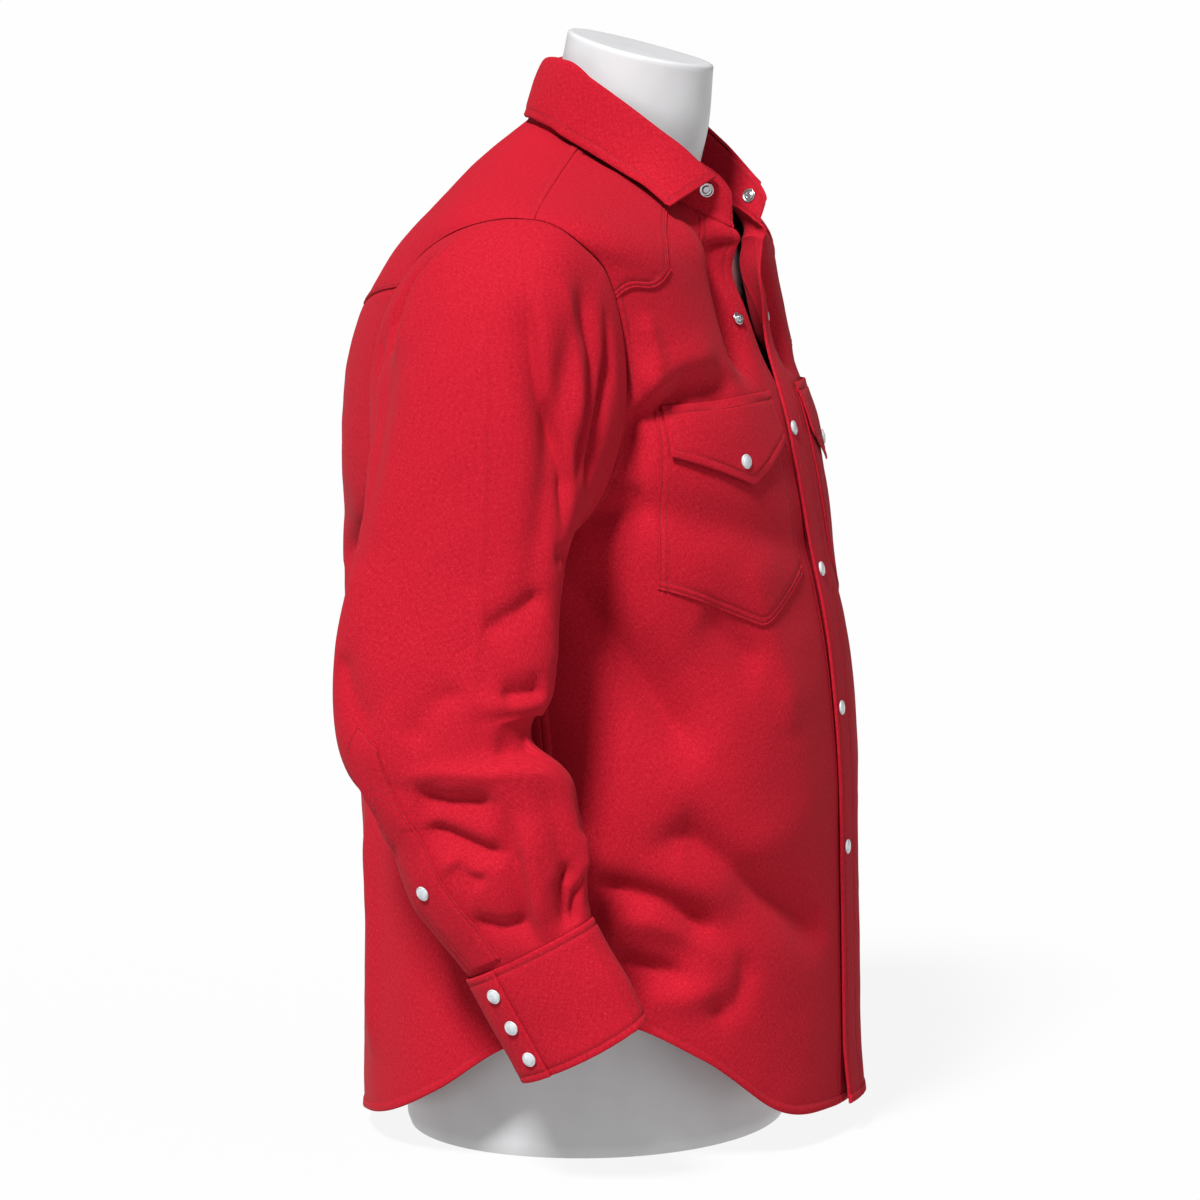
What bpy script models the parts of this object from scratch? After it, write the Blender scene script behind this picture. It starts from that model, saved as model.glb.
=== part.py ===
"""Flame-resistant work shirt with a snap front, on a limbless dress form.

Metres, +Z up, front toward -Y, wearer's right toward -X. The origin is the centre of the form's flat base.
The torso is one smooth surface, body(angle, v): v counts rows of BODY_ROWS from the hem to the neckline
and angle runs from centre front (0) round the right side (pi / 2) to centre back (pi). Every panel is a
cut from it.
"""
import math

import bmesh
import bpy
import numpy as np
from mathutils import Vector
from mathutils.bvhtree import BVHTree

# ---- driving sizes ----
WALL = 0.0015  # cloth panels
DOUBLE_WALL = 0.0021  # folded or interlined cloth: plackets, cuffs, collar
SEAM_GAP = 0.0003
PLACKET_WIDTH = 0.036
LAP_LIFT = 0.0034  # how far the left front lies over the right one
HEM_PARTING = 0.0060  # further lift of the left front below the last snap
ROLL_DEPTH = 0.018  # trough beside each open edge below the collar, where the edge turns forward
ROLL_PLACE = 0.056  # its distance from the centre plane
ROLL_WIDTH = 0.018
CAP_RADIUS = 0.0058
CAP_HEIGHT = 0.0022

# ---- torso: z at centre front, side and back; half width; reach to the front and back of centre_y ----
# columns: z_front z_side z_back half_width front back centre_y square tilt
BODY_ROWS = (
    (0.000, 0.000, 0.000, 0.2260, 0.2090, 0.1800, 0.000, 2.10, 0.00),
    (0.100, 0.100, 0.100, 0.2250, 0.2076, 0.1815, 0.000, 2.10, 0.00),
    (0.200, 0.200, 0.200, 0.2220, 0.2055, 0.1830, 0.000, 2.15, 0.00),
    (0.300, 0.300, 0.300, 0.2170, 0.2025, 0.1860, 0.000, 2.30, 0.00),
    (0.400, 0.400, 0.400, 0.2100, 0.1925, 0.1905, 0.000, 2.40, 0.00),
    (0.485, 0.490, 0.490, 0.2050, 0.1760, 0.1980, 0.000, 2.50, 0.00),
    (0.565, 0.580, 0.572, 0.2050, 0.1550, 0.1985, -0.003, 2.50, 0.00),
    (0.618, 0.655, 0.642, 0.2080, 0.1320, 0.1890, -0.008, 2.40, 0.00),
    (0.660, 0.706, 0.692, 0.2120, 0.1140, 0.1680, -0.014, 2.30, 0.00),
    (0.686, 0.734, 0.734, 0.2120, 0.1050, 0.1350, -0.018, 2.15, 0.10),
    (0.702, 0.760, 0.775, 0.1420, 0.1180, 0.0960, -0.012, 2.00, 0.30),
    (0.708, 0.784, 0.806, 0.0660, 0.1380, 0.0560, -0.006, 2.00, 0.50),
)
V_UNDERARM = 5.0
V_SHOULDER = 9.0
V_NECK = 11.0
V_ARMHOLE_MIDDLE = (V_UNDERARM + V_SHOULDER) / 2
ARMHOLE_FRONT_SWING = 29.0  # degrees from the side to the front of the armhole
ARMHOLE_BACK_SWING = 38.0
SIDE_SEAM_DRIFT = 15.0  # degrees that the side seam lies forward of the side at the hem
FRONT_COLUMNS = 13
ARMHOLE_STEPS = 12  # rows on each half of the armhole, which the sleeve's ring shares
YOKE_STEP = 7  # the back yoke's seam meets the armhole at this row
YOKE_DIP = 0.55  # how far its point drops at centre back, in rows

# distance of each front's free edge from the centre plane, toward its own side, for each body row
# columns: right left
EDGE_ROWS = (
    (-0.0120, -0.0175),
    (-0.0175, -0.0175),
    (-0.0175, -0.0175),
    (-0.0175, -0.0175),
    (-0.0175, -0.0175),
    (-0.0175, -0.0175),
    (-0.0100, -0.0130),
    (0.0135, 0.0040),
    (0.0290, 0.0130),
    (0.0340, 0.0240),
    (0.0350, 0.0340),
    (0.0360, 0.0360),
)

# columns: degrees height
HEM_ROWS = (
    (-12, 0.024),
    (8, 0.024),
    (28, 0.034),
    (48, 0.084),
    (68, 0.118),
    (88, 0.098),
    (108, 0.058),
    (128, 0.030),
    (148, 0.017),
    (168, 0.010),
    (188, 0.009),
)

# soft folds of the body: place, reach and height (minus is a trough), reach along and across the slant
# columns: side degrees v half_degrees half_v slant height
BODY_FOLDS = (
    (-1, 62, 6.1, 5, 0.55, 0.30, -0.008),
    (-1, 42, 5.15, 40, 0.22, 0.30, -0.006),
    (-1, 46, 3.9, 34, 0.55, -0.45, -0.009),
    (-1, 52, 1.75, 18, 0.22, -0.20, -0.006),
    (-1, 40, 2.35, 26, 0.28, -0.35, 0.004),
    (1, 60, 6.0, 6, 0.50, 0.30, -0.007),
    (1, 45, 4.2, 34, 0.50, -0.40, -0.008),
    (1, 50, 2.0, 22, 0.26, -0.25, -0.005),
    (-1, 140, 4.9, 22, 0.40, 0.30, -0.006),
    (1, 138, 5.0, 24, 0.42, 0.30, -0.006),
    (-1, 150, 2.4, 14, 0.90, 0.00, -0.004),
    (1, 152, 2.2, 14, 1.00, 0.00, -0.004),
)

# ---- sleeve: centre line and half widths, from the upper arm to the top of the cuff ----
# columns: x y z half_depth half_thickness
ARM_ROWS = (
    (-0.2700, 0.0255, 0.465, 0.0820, 0.0400),
    (-0.2770, 0.0350, 0.402, 0.0850, 0.0410),
    (-0.2840, 0.0330, 0.345, 0.0810, 0.0400),
    (-0.2850, 0.0050, 0.290, 0.0740, 0.0380),
    (-0.2810, -0.0130, 0.238, 0.0730, 0.0370),
    (-0.2760, -0.0350, 0.187, 0.0560, 0.0280),
    (-0.2640, -0.0800, 0.110, 0.0560, 0.0280),
)
CUFF_ROW = 5  # the sleeve ends at this row, and the last row only steers it into the cuff
CUFF_LENGTH = 0.0890
CUFF_SEAM = 0.0008
CUFF_HALF_DEPTH = 0.0560
CUFF_HALF_THICKNESS = 0.0280
CUFF_FALL = 0.0040  # how much lower its outer face hangs at the wrist
CUFF_LAP = 30.0  # degrees of the cuff's round that lie over its own start
CUFF_START = 305.0

# ---- form ----
FORM_ROWS = (
    (0.000, 0.000, 0.000, 0.1730, 0.1440, 0.1440, 0.000, 2.05, 0.00),
    (0.006, 0.006, 0.006, 0.1790, 0.1500, 0.1500, 0.000, 2.05, 0.00),
    (0.080, 0.080, 0.080, 0.1800, 0.1500, 0.1500, 0.000, 2.05, 0.00),
    (0.180, 0.180, 0.180, 0.1740, 0.1380, 0.1380, 0.000, 2.05, 0.00),
    (0.290, 0.290, 0.290, 0.1620, 0.1200, 0.1250, 0.000, 2.10, 0.00),
    (0.400, 0.400, 0.400, 0.1720, 0.1250, 0.1450, 0.000, 2.15, 0.00),
    (0.500, 0.500, 0.500, 0.1840, 0.1280, 0.1650, 0.000, 2.20, 0.00),
    (0.580, 0.590, 0.580, 0.1860, 0.1140, 0.1680, -0.003, 2.20, 0.00),
    (0.640, 0.660, 0.645, 0.1900, 0.0980, 0.1580, -0.010, 2.20, 0.00),
    (0.676, 0.704, 0.697, 0.1980, 0.0880, 0.1400, -0.015, 2.10, 0.00),
    (0.700, 0.729, 0.737, 0.1860, 0.0800, 0.1180, -0.018, 2.00, 0.05),
    (0.716, 0.7535, 0.7705, 0.1370, 0.0750, 0.0890, -0.014, 2.00, 0.20),
    (0.735, 0.775, 0.800, 0.0710, 0.0720, 0.0560, -0.010, 2.00, 0.35),
    (0.762, 0.800, 0.824, 0.0580, 0.0680, 0.0480, -0.014, 2.00, 0.30),
    (0.800, 0.830, 0.848, 0.0565, 0.0620, 0.0560, -0.028, 2.00, 0.24),
    (0.845, 0.858, 0.874, 0.0560, 0.0585, 0.0575, -0.035, 2.00, 0.26),
)
CAP_EDGE = 0.0030  # rounding of the form's neck cap

MATERIALS = {
    "cloth": ((0.52, 0.012, 0.028), 0.85, 0.0),
    "form_shell": ((0.82, 0.82, 0.82), 0.35, 0.0),
    "snap_pearl": ((0.66, 0.69, 0.71), 0.25, 0.0),
    "snap_metal": ((0.60, 0.60, 0.61), 0.30, 1.0),
}


# ---- shared mathematics ----
def between(rows, at):
    """A smooth Catmull-Rom value between evenly counted rows."""
    rows = np.asarray(rows, float)
    at = np.clip(np.asarray(at, float), 0, len(rows) - 1)
    low = np.minimum(at.astype(int), len(rows) - 2)
    part = (at - low)[..., None]
    padded = np.vstack([2 * rows[:1] - rows[1:2], rows, 2 * rows[-1:] - rows[-2:-1]])
    a, b, c, d = (padded[low + k] for k in range(4))
    curve = (2 * a - 5 * b + 4 * c - d) * part**2 + (3 * b - a - 3 * c + d) * part**3
    return 0.5 * (2 * b + (c - a) * part + curve)


def by_key(rows, key, column=1):
    """The same, looked up by the rows' evenly spaced first column."""
    rows = np.asarray(rows, float)
    step = rows[2, 0] - rows[1, 0]
    place = 1 + (np.asarray(key, float) - rows[1, 0]) / step
    return between(rows, place)[..., column]


def power(value, exponent):
    return np.sign(value) * np.abs(value) ** exponent


def unit(vectors):
    return vectors / np.maximum(np.linalg.norm(vectors, axis=-1, keepdims=True), 1e-12)


def smooth(value):
    value = np.clip(value, 0, 1)
    return value * value * (3 - 2 * value)


def mirrored(points, side):
    """The right side is modelled; side is -1 for it and 1 for the wearer's left."""
    return points * np.array([-side, 1.0, 1.0])


# ---- torso surface ----
def torso(rows, angle, v):
    angle, v = np.broadcast_arrays(np.asarray(angle, float), np.asarray(v, float))
    columns = np.moveaxis(between(rows, v), -1, 0)
    z_front, z_side, z_back, half_width, front, back, centre_y, square, tilt = columns
    facing = np.cos(angle) > 0
    reach = np.where(facing, front, back)
    z_end = np.where(facing, z_front, z_back)
    x = -half_width * power(np.sin(angle), 2 / square)
    y = centre_y - reach * power(np.cos(angle), 2 / square)
    end_tilt = np.where(facing, -front, back) * tilt
    z = z_side + tilt * (y - centre_y) + (z_end - z_side - end_tilt) * np.cos(angle) ** 2
    return np.stack([x, y, z], -1)


def normals(surface, angle, v):
    step = 1e-3
    along = surface(angle + step, v) - surface(angle - step, v)
    up = surface(angle, v + step) - surface(angle, v - step)
    return unit(np.cross(up, along))


def plain_body(angle, v):
    return torso(BODY_ROWS, angle, v)


def relief(side, angle, v):
    """The height of the soft folds."""
    total = np.zeros(np.broadcast(angle, v).shape)
    for fold_side, degrees, row, half_degrees, half_v, slant, height in BODY_FOLDS:
        if fold_side == side:
            across = (np.degrees(angle) - degrees) / half_degrees
            along = (v - row - slant * across) / half_v
            total = total + height * np.exp(-(across**2) - along**2)
    own_x = -plain_body(angle, v)[..., 0]
    open_part = smooth((v - 6.4) / 1.0) * smooth((V_NECK - v) / 0.8) * (np.cos(angle) > 0)
    return total - ROLL_DEPTH * np.exp(-(((own_x - ROLL_PLACE) / ROLL_WIDTH) ** 2)) * open_part


def body(angle, v, side, out=0.0):
    """A point of the shirt's body, `out` away from the surface that the panels' insides follow."""
    lift = relief(side, angle, v) + out
    return plain_body(angle, v) + normals(plain_body, angle, v) * np.asarray(lift)[..., None]


def edge_angle(v, side):
    own_side = between(EDGE_ROWS, v)[..., 0 if side < 0 else 1]
    row = between(BODY_ROWS, v)
    return np.arcsin(power(own_side / row[..., 3], row[..., 7] / 2))


def side_angle(v, back=False):
    """The side seam below the armhole, the armhole, and the shoulder seam above it."""
    v = np.asarray(v, float)
    seam = 90 - SIDE_SEAM_DRIFT * np.clip(1 - v / V_UNDERARM, 0, 1)
    bow = np.sqrt(np.clip(1 - ((v - V_ARMHOLE_MIDDLE) / 2) ** 2, 0, 1))
    return np.radians(seam + (ARMHOLE_BACK_SWING if back else -ARMHOLE_FRONT_SWING) * bow)


def placket_seam_angle(v, side):
    """Where the placket ends, PLACKET_WIDTH along the cloth from the free edge."""
    start = edge_angle(v, side)
    reach = np.linspace(0, 0.9, 60)
    angles = start[..., None] + reach
    points = plain_body(angles, np.broadcast_to(v[..., None], angles.shape))
    steps = np.linalg.norm(np.diff(points, axis=-2), axis=-1)
    lengths = np.concatenate([np.zeros(start.shape + (1,)), np.cumsum(steps, -1)], -1)
    found = [np.interp(PLACKET_WIDTH, length, reach) for length in lengths]
    return start + np.array(found)


def hem_v(angle):
    return by_key(HEM_ROWS, np.degrees(np.abs(angle))) / 0.100


def front_v(x, z):
    """The row of the front's point at distance x from the centre plane and height z."""
    v = np.linspace(0, 9, 361)
    found = []
    for own_x, height in zip(np.ravel(x), np.ravel(z)):
        row = between(BODY_ROWS, v)
        angle = np.arcsin(np.clip(power(own_x / row[:, 3], row[:, 7] / 2), -1, 1))
        at = np.interp(height, plain_body(angle, v)[:, 2], v)
        row = between(BODY_ROWS, at)
        found.append((np.arcsin(np.clip(power(own_x / row[3], row[7] / 2), -1, 1)), at))
    found = np.array(found).reshape(np.shape(x) + (2,))
    return found[..., 0], found[..., 1]


# ---- building ----
def clear_scene():
    for thing in list(bpy.data.objects):
        bpy.data.objects.remove(thing, do_unlink=True)


def make_materials():
    made = {}
    for name, (color, roughness, metallic) in MATERIALS.items():
        material = bpy.data.materials.new(name)
        material.use_nodes = True
        shader = material.node_tree.nodes["Principled BSDF"]
        shader.inputs["Base Color"].default_value = (*color, 1)
        shader.inputs["Roughness"].default_value = roughness
        shader.inputs["Metallic"].default_value = metallic
        made[name] = material
    return made


def add_object(name, bm, material):
    bmesh.ops.recalc_face_normals(bm, faces=bm.faces)
    mesh = bpy.data.meshes.new(name)
    bm.to_mesh(mesh)
    bm.free()
    mesh.materials.append(material)
    mesh.shade_smooth()
    mesh.set_sharp_from_angle(angle=math.radians(50))
    thing = bpy.data.objects.new(name, mesh)
    bpy.context.scene.collection.objects.link(thing)
    return thing


def add_wall(name, inner, outer, material, tube=False):
    """A closed wall between two grids of points; a tube joins its last column to its first."""
    bm = bmesh.new()
    rows, columns = inner.shape[:2]
    skins = [[[bm.verts.new(p) for p in row] for row in skin] for skin in (inner, outer)]
    spans = columns if tube else columns - 1
    for row in range(rows - 1):
        for column in range(spans):
            nxt = (column + 1) % columns
            for skin in skins:
                bm.faces.new((skin[row][column], skin[row][nxt], skin[row + 1][nxt], skin[row + 1][column]))
    for column in range(spans):
        nxt = (column + 1) % columns
        for row in (0, rows - 1):
            low, high = skins[0][row], skins[1][row]
            bm.faces.new((low[column], low[nxt], high[nxt], high[column]))
    if not tube:
        for row in range(rows - 1):
            for column in (0, columns - 1):
                ends = (skins[0][row][column], skins[0][row + 1][column])
                bm.faces.new((*ends, skins[1][row + 1][column], skins[1][row][column]))
    return add_object(name, bm, material)


def inset(grid, first=0.0, last=0.0, bottom=0.0, top=0.0):
    """The grid with its borders drawn in along its own lines, to leave the gaps of the seams."""
    grid = grid.copy()
    grid[:, 0] += unit(grid[:, 1] - grid[:, 0]) * first
    grid[:, -1] += unit(grid[:, -2] - grid[:, -1]) * last
    grid[0] += unit(grid[1] - grid[0]) * bottom
    grid[-1] += unit(grid[-2] - grid[-1]) * top
    return grid


def add_panel(name, angle, v, side, out, thickness, material, **gaps):
    walls = [inset(mirrored(body(angle, v, side, out + extra), side), **gaps) for extra in (0, thickness)]
    return add_wall(name, *walls, material)


def skin_of(thing):
    """The faces of a finished piece, for others to be laid on."""
    thing.data.calc_loop_triangles()
    faces = [tuple(face.vertices) for face in thing.data.loop_triangles]
    return BVHTree.FromPolygons([vertex.co for vertex in thing.data.vertices], faces)


def laid_on(skin, points, axes):
    """The points moved along their axes onto a piece's outside."""
    moved = points.copy()
    for index in np.ndindex(points.shape[:-1]):
        axis = Vector(axes[index])
        hit = skin.ray_cast(Vector(points[index]) + axis * 0.02, -axis, 0.04)[0]
        if hit is not None:
            moved[index] = hit
    return moved


def add_overlay(name, skin, low, high, off, thickness, material, **gaps):
    """A piece laid `off` the skin of another; low and high give its place and its outward direction."""
    axes = unit(high - low)
    base = laid_on(skin, inset(low, **gaps), axes)
    return add_wall(name, base + axes * off, base + axes * (off + thickness), material)


def add_turned(name, place, axis, profile, material, hollow=False, segments=10):
    """A small round piece turned about `axis`: profile rows are (radius, height)."""
    axis = unit(np.asarray(axis, float))
    sideways = unit(np.cross(axis, [0.0, 0.0, 1.0] if abs(axis[2]) < 0.9 else [1.0, 0.0, 0.0]))
    other = np.cross(axis, sideways)
    bm = bmesh.new()
    rings = []
    for radius, height in profile:
        turn = [2 * math.pi * k / segments for k in range(segments)]
        centre = place + axis * height
        ring = [centre + radius * (math.cos(t) * sideways + math.sin(t) * other) for t in turn]
        rings.append([bm.verts.new(point) for point in ring])
    pairs = list(zip(rings, rings[1:]))
    if hollow:
        pairs.append((rings[-1], rings[0]))
    for low, high in pairs:
        for k in range(segments):
            nxt = (k + 1) % segments
            bm.faces.new((low[k], low[nxt], high[nxt], high[k]))
    if not hollow:
        bm.faces.new(rings[0])
        bm.faces.new(rings[-1])
    return add_object(name, bm, material)


CAP_PROFILE = (
    (CAP_RADIUS * 0.94, 0.0),
    (CAP_RADIUS, CAP_HEIGHT * 0.45),
    (CAP_RADIUS * 0.80, CAP_HEIGHT),
)
RING_PROFILE = (
    (0.0058, 0.0),
    (0.0058, 0.0012),
    (0.0030, 0.0018),
    (0.0024, 0.0002),
)
STUD_PROFILE = (
    (0.0052, 0.0),
    (0.0052, 0.0008),
    (0.0024, 0.0010),
    (0.0024, 0.0034),
    (0.0016, 0.0040),
)


# ---- rows and columns of the panels ----
def armhole_v(step):
    """Rows of the armhole, even round it: step 0 at the underarm, ARMHOLE_STEPS at the shoulder."""
    return V_ARMHOLE_MIDDLE - 2 * np.cos(math.pi * np.asarray(step, float) / ARMHOLE_STEPS)


def lower_rows(angle_at, count):
    """Rows from the hem up to the underarm, for columns whose angles angle_at(v) gives."""
    hem = hem_v(angle_at(np.array([0.6]))[0])
    part = np.linspace(0, 1, count + 1)[:-1, None]
    return hem + (V_UNDERARM - hem) * part


def front_grid(side, columns, lower=8, shoulder=2):
    """angle and v of a front panel, from the placket's seam to the side, armhole and shoulder seams."""
    part = np.linspace(0, 1, columns) ** 1.2

    def angles(v):
        return placket_seam_angle(v, side)[:, None] * (1 - part) + side_angle(v)[:, None] * part

    low = lower_rows(angles, lower)
    arm = armhole_v(np.arange(ARMHOLE_STEPS + 1))
    top = np.linspace(V_SHOULDER, V_NECK, shoulder + 1)[1:]
    v = np.vstack([low, np.repeat(np.concatenate([arm, top])[:, None], columns, 1)])
    angle = np.stack([angles(v[:, k])[:, k] for k in range(columns)], 1)
    return angle, v


def lap_lift(x_own, z, side):
    """How far a front stands off the surface where the left one laps over the right one."""
    if side < 0:
        return 0.0
    near = smooth((0.075 - x_own) / 0.050)
    closed = smooth((0.640 - z) / 0.080)
    parting = HEM_PARTING * smooth((0.080 - z) / 0.080)
    return near * (LAP_LIFT * closed + parting)


def front_panel(side, material, name):
    angle, v = front_grid(side, FRONT_COLUMNS)
    flat = plain_body(angle, v)
    lift = lap_lift(-flat[..., 0], flat[..., 2], side)
    return add_panel(name, angle, v, side, lift, WALL, material,
                     first=SEAM_GAP / 2, last=SEAM_GAP / 2, top=SEAM_GAP)


def placket(side, material, name):
    """The band along a front's free edge; its rows are those of the panel that it is sewn to."""
    seam_angle, seam_v = front_grid(side, FRONT_COLUMNS)
    part = np.linspace(0, 1, 4)
    v = np.repeat(seam_v[:, :1], 4, 1)
    angle = edge_angle(v[:, 0], side)[:, None] * (1 - part) + seam_angle[:, :1] * part
    flat = plain_body(angle, v)
    lift = lap_lift(-flat[..., 0], flat[..., 2], side) - (0.0003 if side < 0 else 0.0)
    return add_panel(name, angle, v, side, lift, DOUBLE_WALL, material,
                     last=SEAM_GAP / 2, top=SEAM_GAP)


def back_half(rows_of_v, columns):
    """angle of half a back grid from the side to the centre, for each row's v."""
    part = np.linspace(0, 1, columns)
    return side_angle(rows_of_v, True)[:, None] * (1 - part) + math.pi * part


def whole_back(angle, v):
    """Both halves of the back, as one grid of points with its two skins."""
    skins = []
    for extra in (0, WALL):
        right = mirrored(body(angle, v, -1, extra), -1)
        left = mirrored(body(angle, v, 1, extra), 1)
        right[:, -1, 0] = 0
        left[:, -1] = right[:, -1] = (right[:, -1] + left[:, -1]) / 2
        skins.append(np.concatenate([right, left[:, -2::-1]], 1))
    return skins


def back_panel(material):
    columns = 9

    def angles(v):
        return back_half(v, columns)

    low = lower_rows(angles, 8)
    low_angle = np.stack([angles(low[:, k])[:, k] for k in range(columns)], 1)
    arm = armhole_v(np.arange(YOKE_STEP + 1))
    dip = YOKE_DIP * np.linspace(0, 1, columns) ** 1.5
    upper = arm[:, None] - dip * (arm[:, None] - V_UNDERARM) / (arm[-1] - V_UNDERARM)
    v = np.vstack([low, upper])
    angle = np.vstack([low_angle, back_half(arm, columns)])
    gaps = dict(first=SEAM_GAP / 2, last=SEAM_GAP / 2, top=SEAM_GAP / 2)
    add_wall("back", *[inset(skin, **gaps) for skin in whole_back(angle, v)], material)


def back_yoke(material):
    columns = 9
    arm = armhole_v(np.arange(YOKE_STEP, ARMHOLE_STEPS + 1))
    rows = np.concatenate([arm, [10.0, V_NECK]])
    dip = YOKE_DIP * np.linspace(0, 1, columns) ** 1.5
    part = (rows - rows[0])[:, None] / (V_NECK - rows[0])
    v = rows[:, None] - dip * (1 - part)
    angle = back_half(rows, columns)
    gaps = dict(first=SEAM_GAP / 2, last=SEAM_GAP / 2, bottom=SEAM_GAP / 2, top=SEAM_GAP)
    add_wall("yoke_back", *[inset(skin, **gaps) for skin in whole_back(angle, v)], material)


# front yoke: its outer border follows the armhole and the shoulder, its inner one runs up to the neck
# columns: v degrees
YOKE_INNER = ((8.60, 38.0), (9.20, 41.0), (9.80, 47.0), (10.40, 53.0), (10.80, 57.0))
YOKE_BOTTOM_BOW = 0.12  # how far its S-shaped lower edge swings from straight, in rows
YOKE_BOTTOM_SAG = 0.20
YOKE_OFF = 0.0019
YOKE_INSET = 0.0025  # its borders stay this far inside the panel's own


def front_yoke(side, material, name, skin):
    columns = 8
    outer_v = armhole_v(np.arange(7, ARMHOLE_STEPS + 1))
    outer_v = np.concatenate([outer_v, [10.0, 10.8]])
    inner = between(YOKE_INNER, np.linspace(0, len(YOKE_INNER) - 1, len(outer_v)))
    part = np.linspace(0, 1, columns)
    v = inner[:, :1] * (1 - part) + outer_v[:, None] * part
    rise = np.linspace(1, 0, len(outer_v))[:, None] ** 2
    v = v - (YOKE_BOTTOM_BOW * np.sin(2 * math.pi * part) + YOKE_BOTTOM_SAG * np.sin(math.pi * part)) * rise
    angle = np.radians(inner[:, 1:]) * (1 - part) + side_angle(outer_v)[:, None] * part
    low, high = (mirrored(body(angle, v, side, out), side) for out in (0, 0.001))
    add_overlay(name, skin, low, high, YOKE_OFF, WALL, material,
                last=YOKE_INSET, bottom=YOKE_INSET, top=YOKE_INSET)


# ---- pockets: sizes seen square on, from the centre plane outward ----
POCKET_TOP = 0.593
POCKET_SIDE_BOTTOM = 0.452
POCKET_TIP = 0.4165
POCKET_INNER = 0.036
POCKET_OUTER_TOP = 0.170
POCKET_OUTER_BOTTOM = 0.182
FLAP_SIDE_BOTTOM = 0.5530
FLAP_TIP = 0.5250
FLAP_OVERHANG = 0.0020
POCKET_UNDER_FLAP = 0.004  # the flap's seam lies this far above the pocket's mouth
POCKET_OFF = 0.0015  # off the panel
FLAP_OFF = 0.0013  # off the pocket


def patch(side, top, corner, tip, inner, outer_top, outer_bottom, columns, rows):
    """Place and outward direction of a pocket or flap with a V-shaped lower edge."""
    part = np.linspace(0, 1, columns)
    rise = np.linspace(0, 1, rows)[:, None]
    lower = corner + (tip - corner) * (1 - np.abs(2 * part - 1))
    z = lower + (top - lower) * rise
    slope = (outer_top - outer_bottom) / (POCKET_TOP - POCKET_SIDE_BOTTOM)
    outer = outer_bottom + slope * (z - POCKET_SIDE_BOTTOM)
    x = inner + (outer - inner) * part
    angle, v = front_v(x, z)
    lift = lap_lift(x, z, side)
    return [mirrored(body(angle, v, side, lift + out), side) for out in (0, 0.001)]


def pocket(side, material, name, skin):
    low, high = patch(side, POCKET_TOP - POCKET_UNDER_FLAP, POCKET_SIDE_BOTTOM, POCKET_TIP, POCKET_INNER,
                      POCKET_OUTER_TOP, POCKET_OUTER_BOTTOM, 11, 9)
    return add_overlay(name, skin, low, high, POCKET_OFF, WALL, material)


def flap(side, material, name, skin):
    low, high = patch(side, POCKET_TOP, FLAP_SIDE_BOTTOM, FLAP_TIP, POCKET_INNER - FLAP_OVERHANG,
                      POCKET_OUTER_TOP + FLAP_OVERHANG, POCKET_OUTER_BOTTOM + FLAP_OVERHANG, 11, 5)
    return add_overlay(name, skin, low, high, POCKET_OFF + WALL + FLAP_OFF, WALL, material)


# ---- sleeves ----
SLEEVE_COLUMNS = 2 * ARMHOLE_STEPS
CAP_ROWS = 9
ARM_STEPS = 14
SLEEVE_END = CUFF_ROW + 1
# soft folds of the sleeve: place and reach in degrees and rows, slant, height
SLEEVE_FOLDS = (
    (95, 3.55, 45, 0.16, 0.10, -0.015),
    (75, 3.95, 40, 0.22, 0.15, 0.006),
    (60, 2.45, 40, 0.26, -0.15, 0.005),
    (55, 0.50, 10, 0.50, 0.00, -0.006),
    (295, 0.42, 12, 0.45, 0.00, -0.006),
    (60, 4.90, 9, 0.75, 0.00, -0.005),
    (95, 4.95, 9, 0.60, 0.00, -0.005),
    (330, 3.30, 40, 0.18, 0.12, -0.004),
)


def arm_frames(s):
    """Centre, forward and outward directions of the sleeve at row s of ARM_ROWS."""
    row = between(ARM_ROWS, s)
    ahead = between(ARM_ROWS, s + 0.05)[..., :3] - between(ARM_ROWS, s - 0.05)[..., :3]
    along = unit(ahead)
    forward = unit(np.array([0.0, -1.0, 0.0]) - along * -along[..., 1:2])
    outward = unit(np.cross(along, forward))
    return row, along, forward, outward


def arm_ring(theta, s):
    row, _, forward, outward = arm_frames(np.asarray(s, float))
    depth = row[..., 3, None] * np.sin(theta)[..., None]
    thick = row[..., 4, None] * np.cos(theta)[..., None]
    return row[..., :3] + forward * depth + outward * thick


def armhole_loop(theta):
    """The armhole on the body: theta 0 at the shoulder, 90 degrees in front, 180 at the underarm."""
    v = V_ARMHOLE_MIDDLE + 2 * np.cos(theta)
    front, back = side_angle(v), side_angle(v, True)
    angle = np.where(np.sin(theta) >= 0, front, back)
    point = plain_body(angle, v)
    return point + normals(plain_body, angle, v) * 0.0026


def sleeve_surface(theta, s):
    """s 0 to 1 is the sleeve's cap, and 1 on follows ARM_ROWS from its first row."""
    theta, s = np.broadcast_arrays(np.asarray(theta, float), np.asarray(s, float))
    start = armhole_loop(theta)
    end = arm_ring(theta, np.zeros(theta.shape))
    leave = unit(arm_ring(theta, np.full(theta.shape, 0.1)) - end)
    high = ((1 + np.cos(theta)) / 2)[..., None]
    begin = high * np.array([-0.93, 0.0, -0.36]) + (1 - high) * np.array([-0.50, 0.0, -0.86])
    length = np.linalg.norm(end - start, axis=-1, keepdims=True)
    t = np.clip(s, 0, 1)[..., None]
    hermite = (2 * t**3 - 3 * t**2 + 1) * start + (t**3 - 2 * t**2 + t) * begin * length
    hermite = hermite + (3 * t**2 - 2 * t**3) * end + (t**3 - t**2) * leave * length
    lower = arm_ring(theta, np.clip(s - 1, 0, len(ARM_ROWS) - 1))
    return np.where(s[..., None] < 1, hermite, lower)


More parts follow.
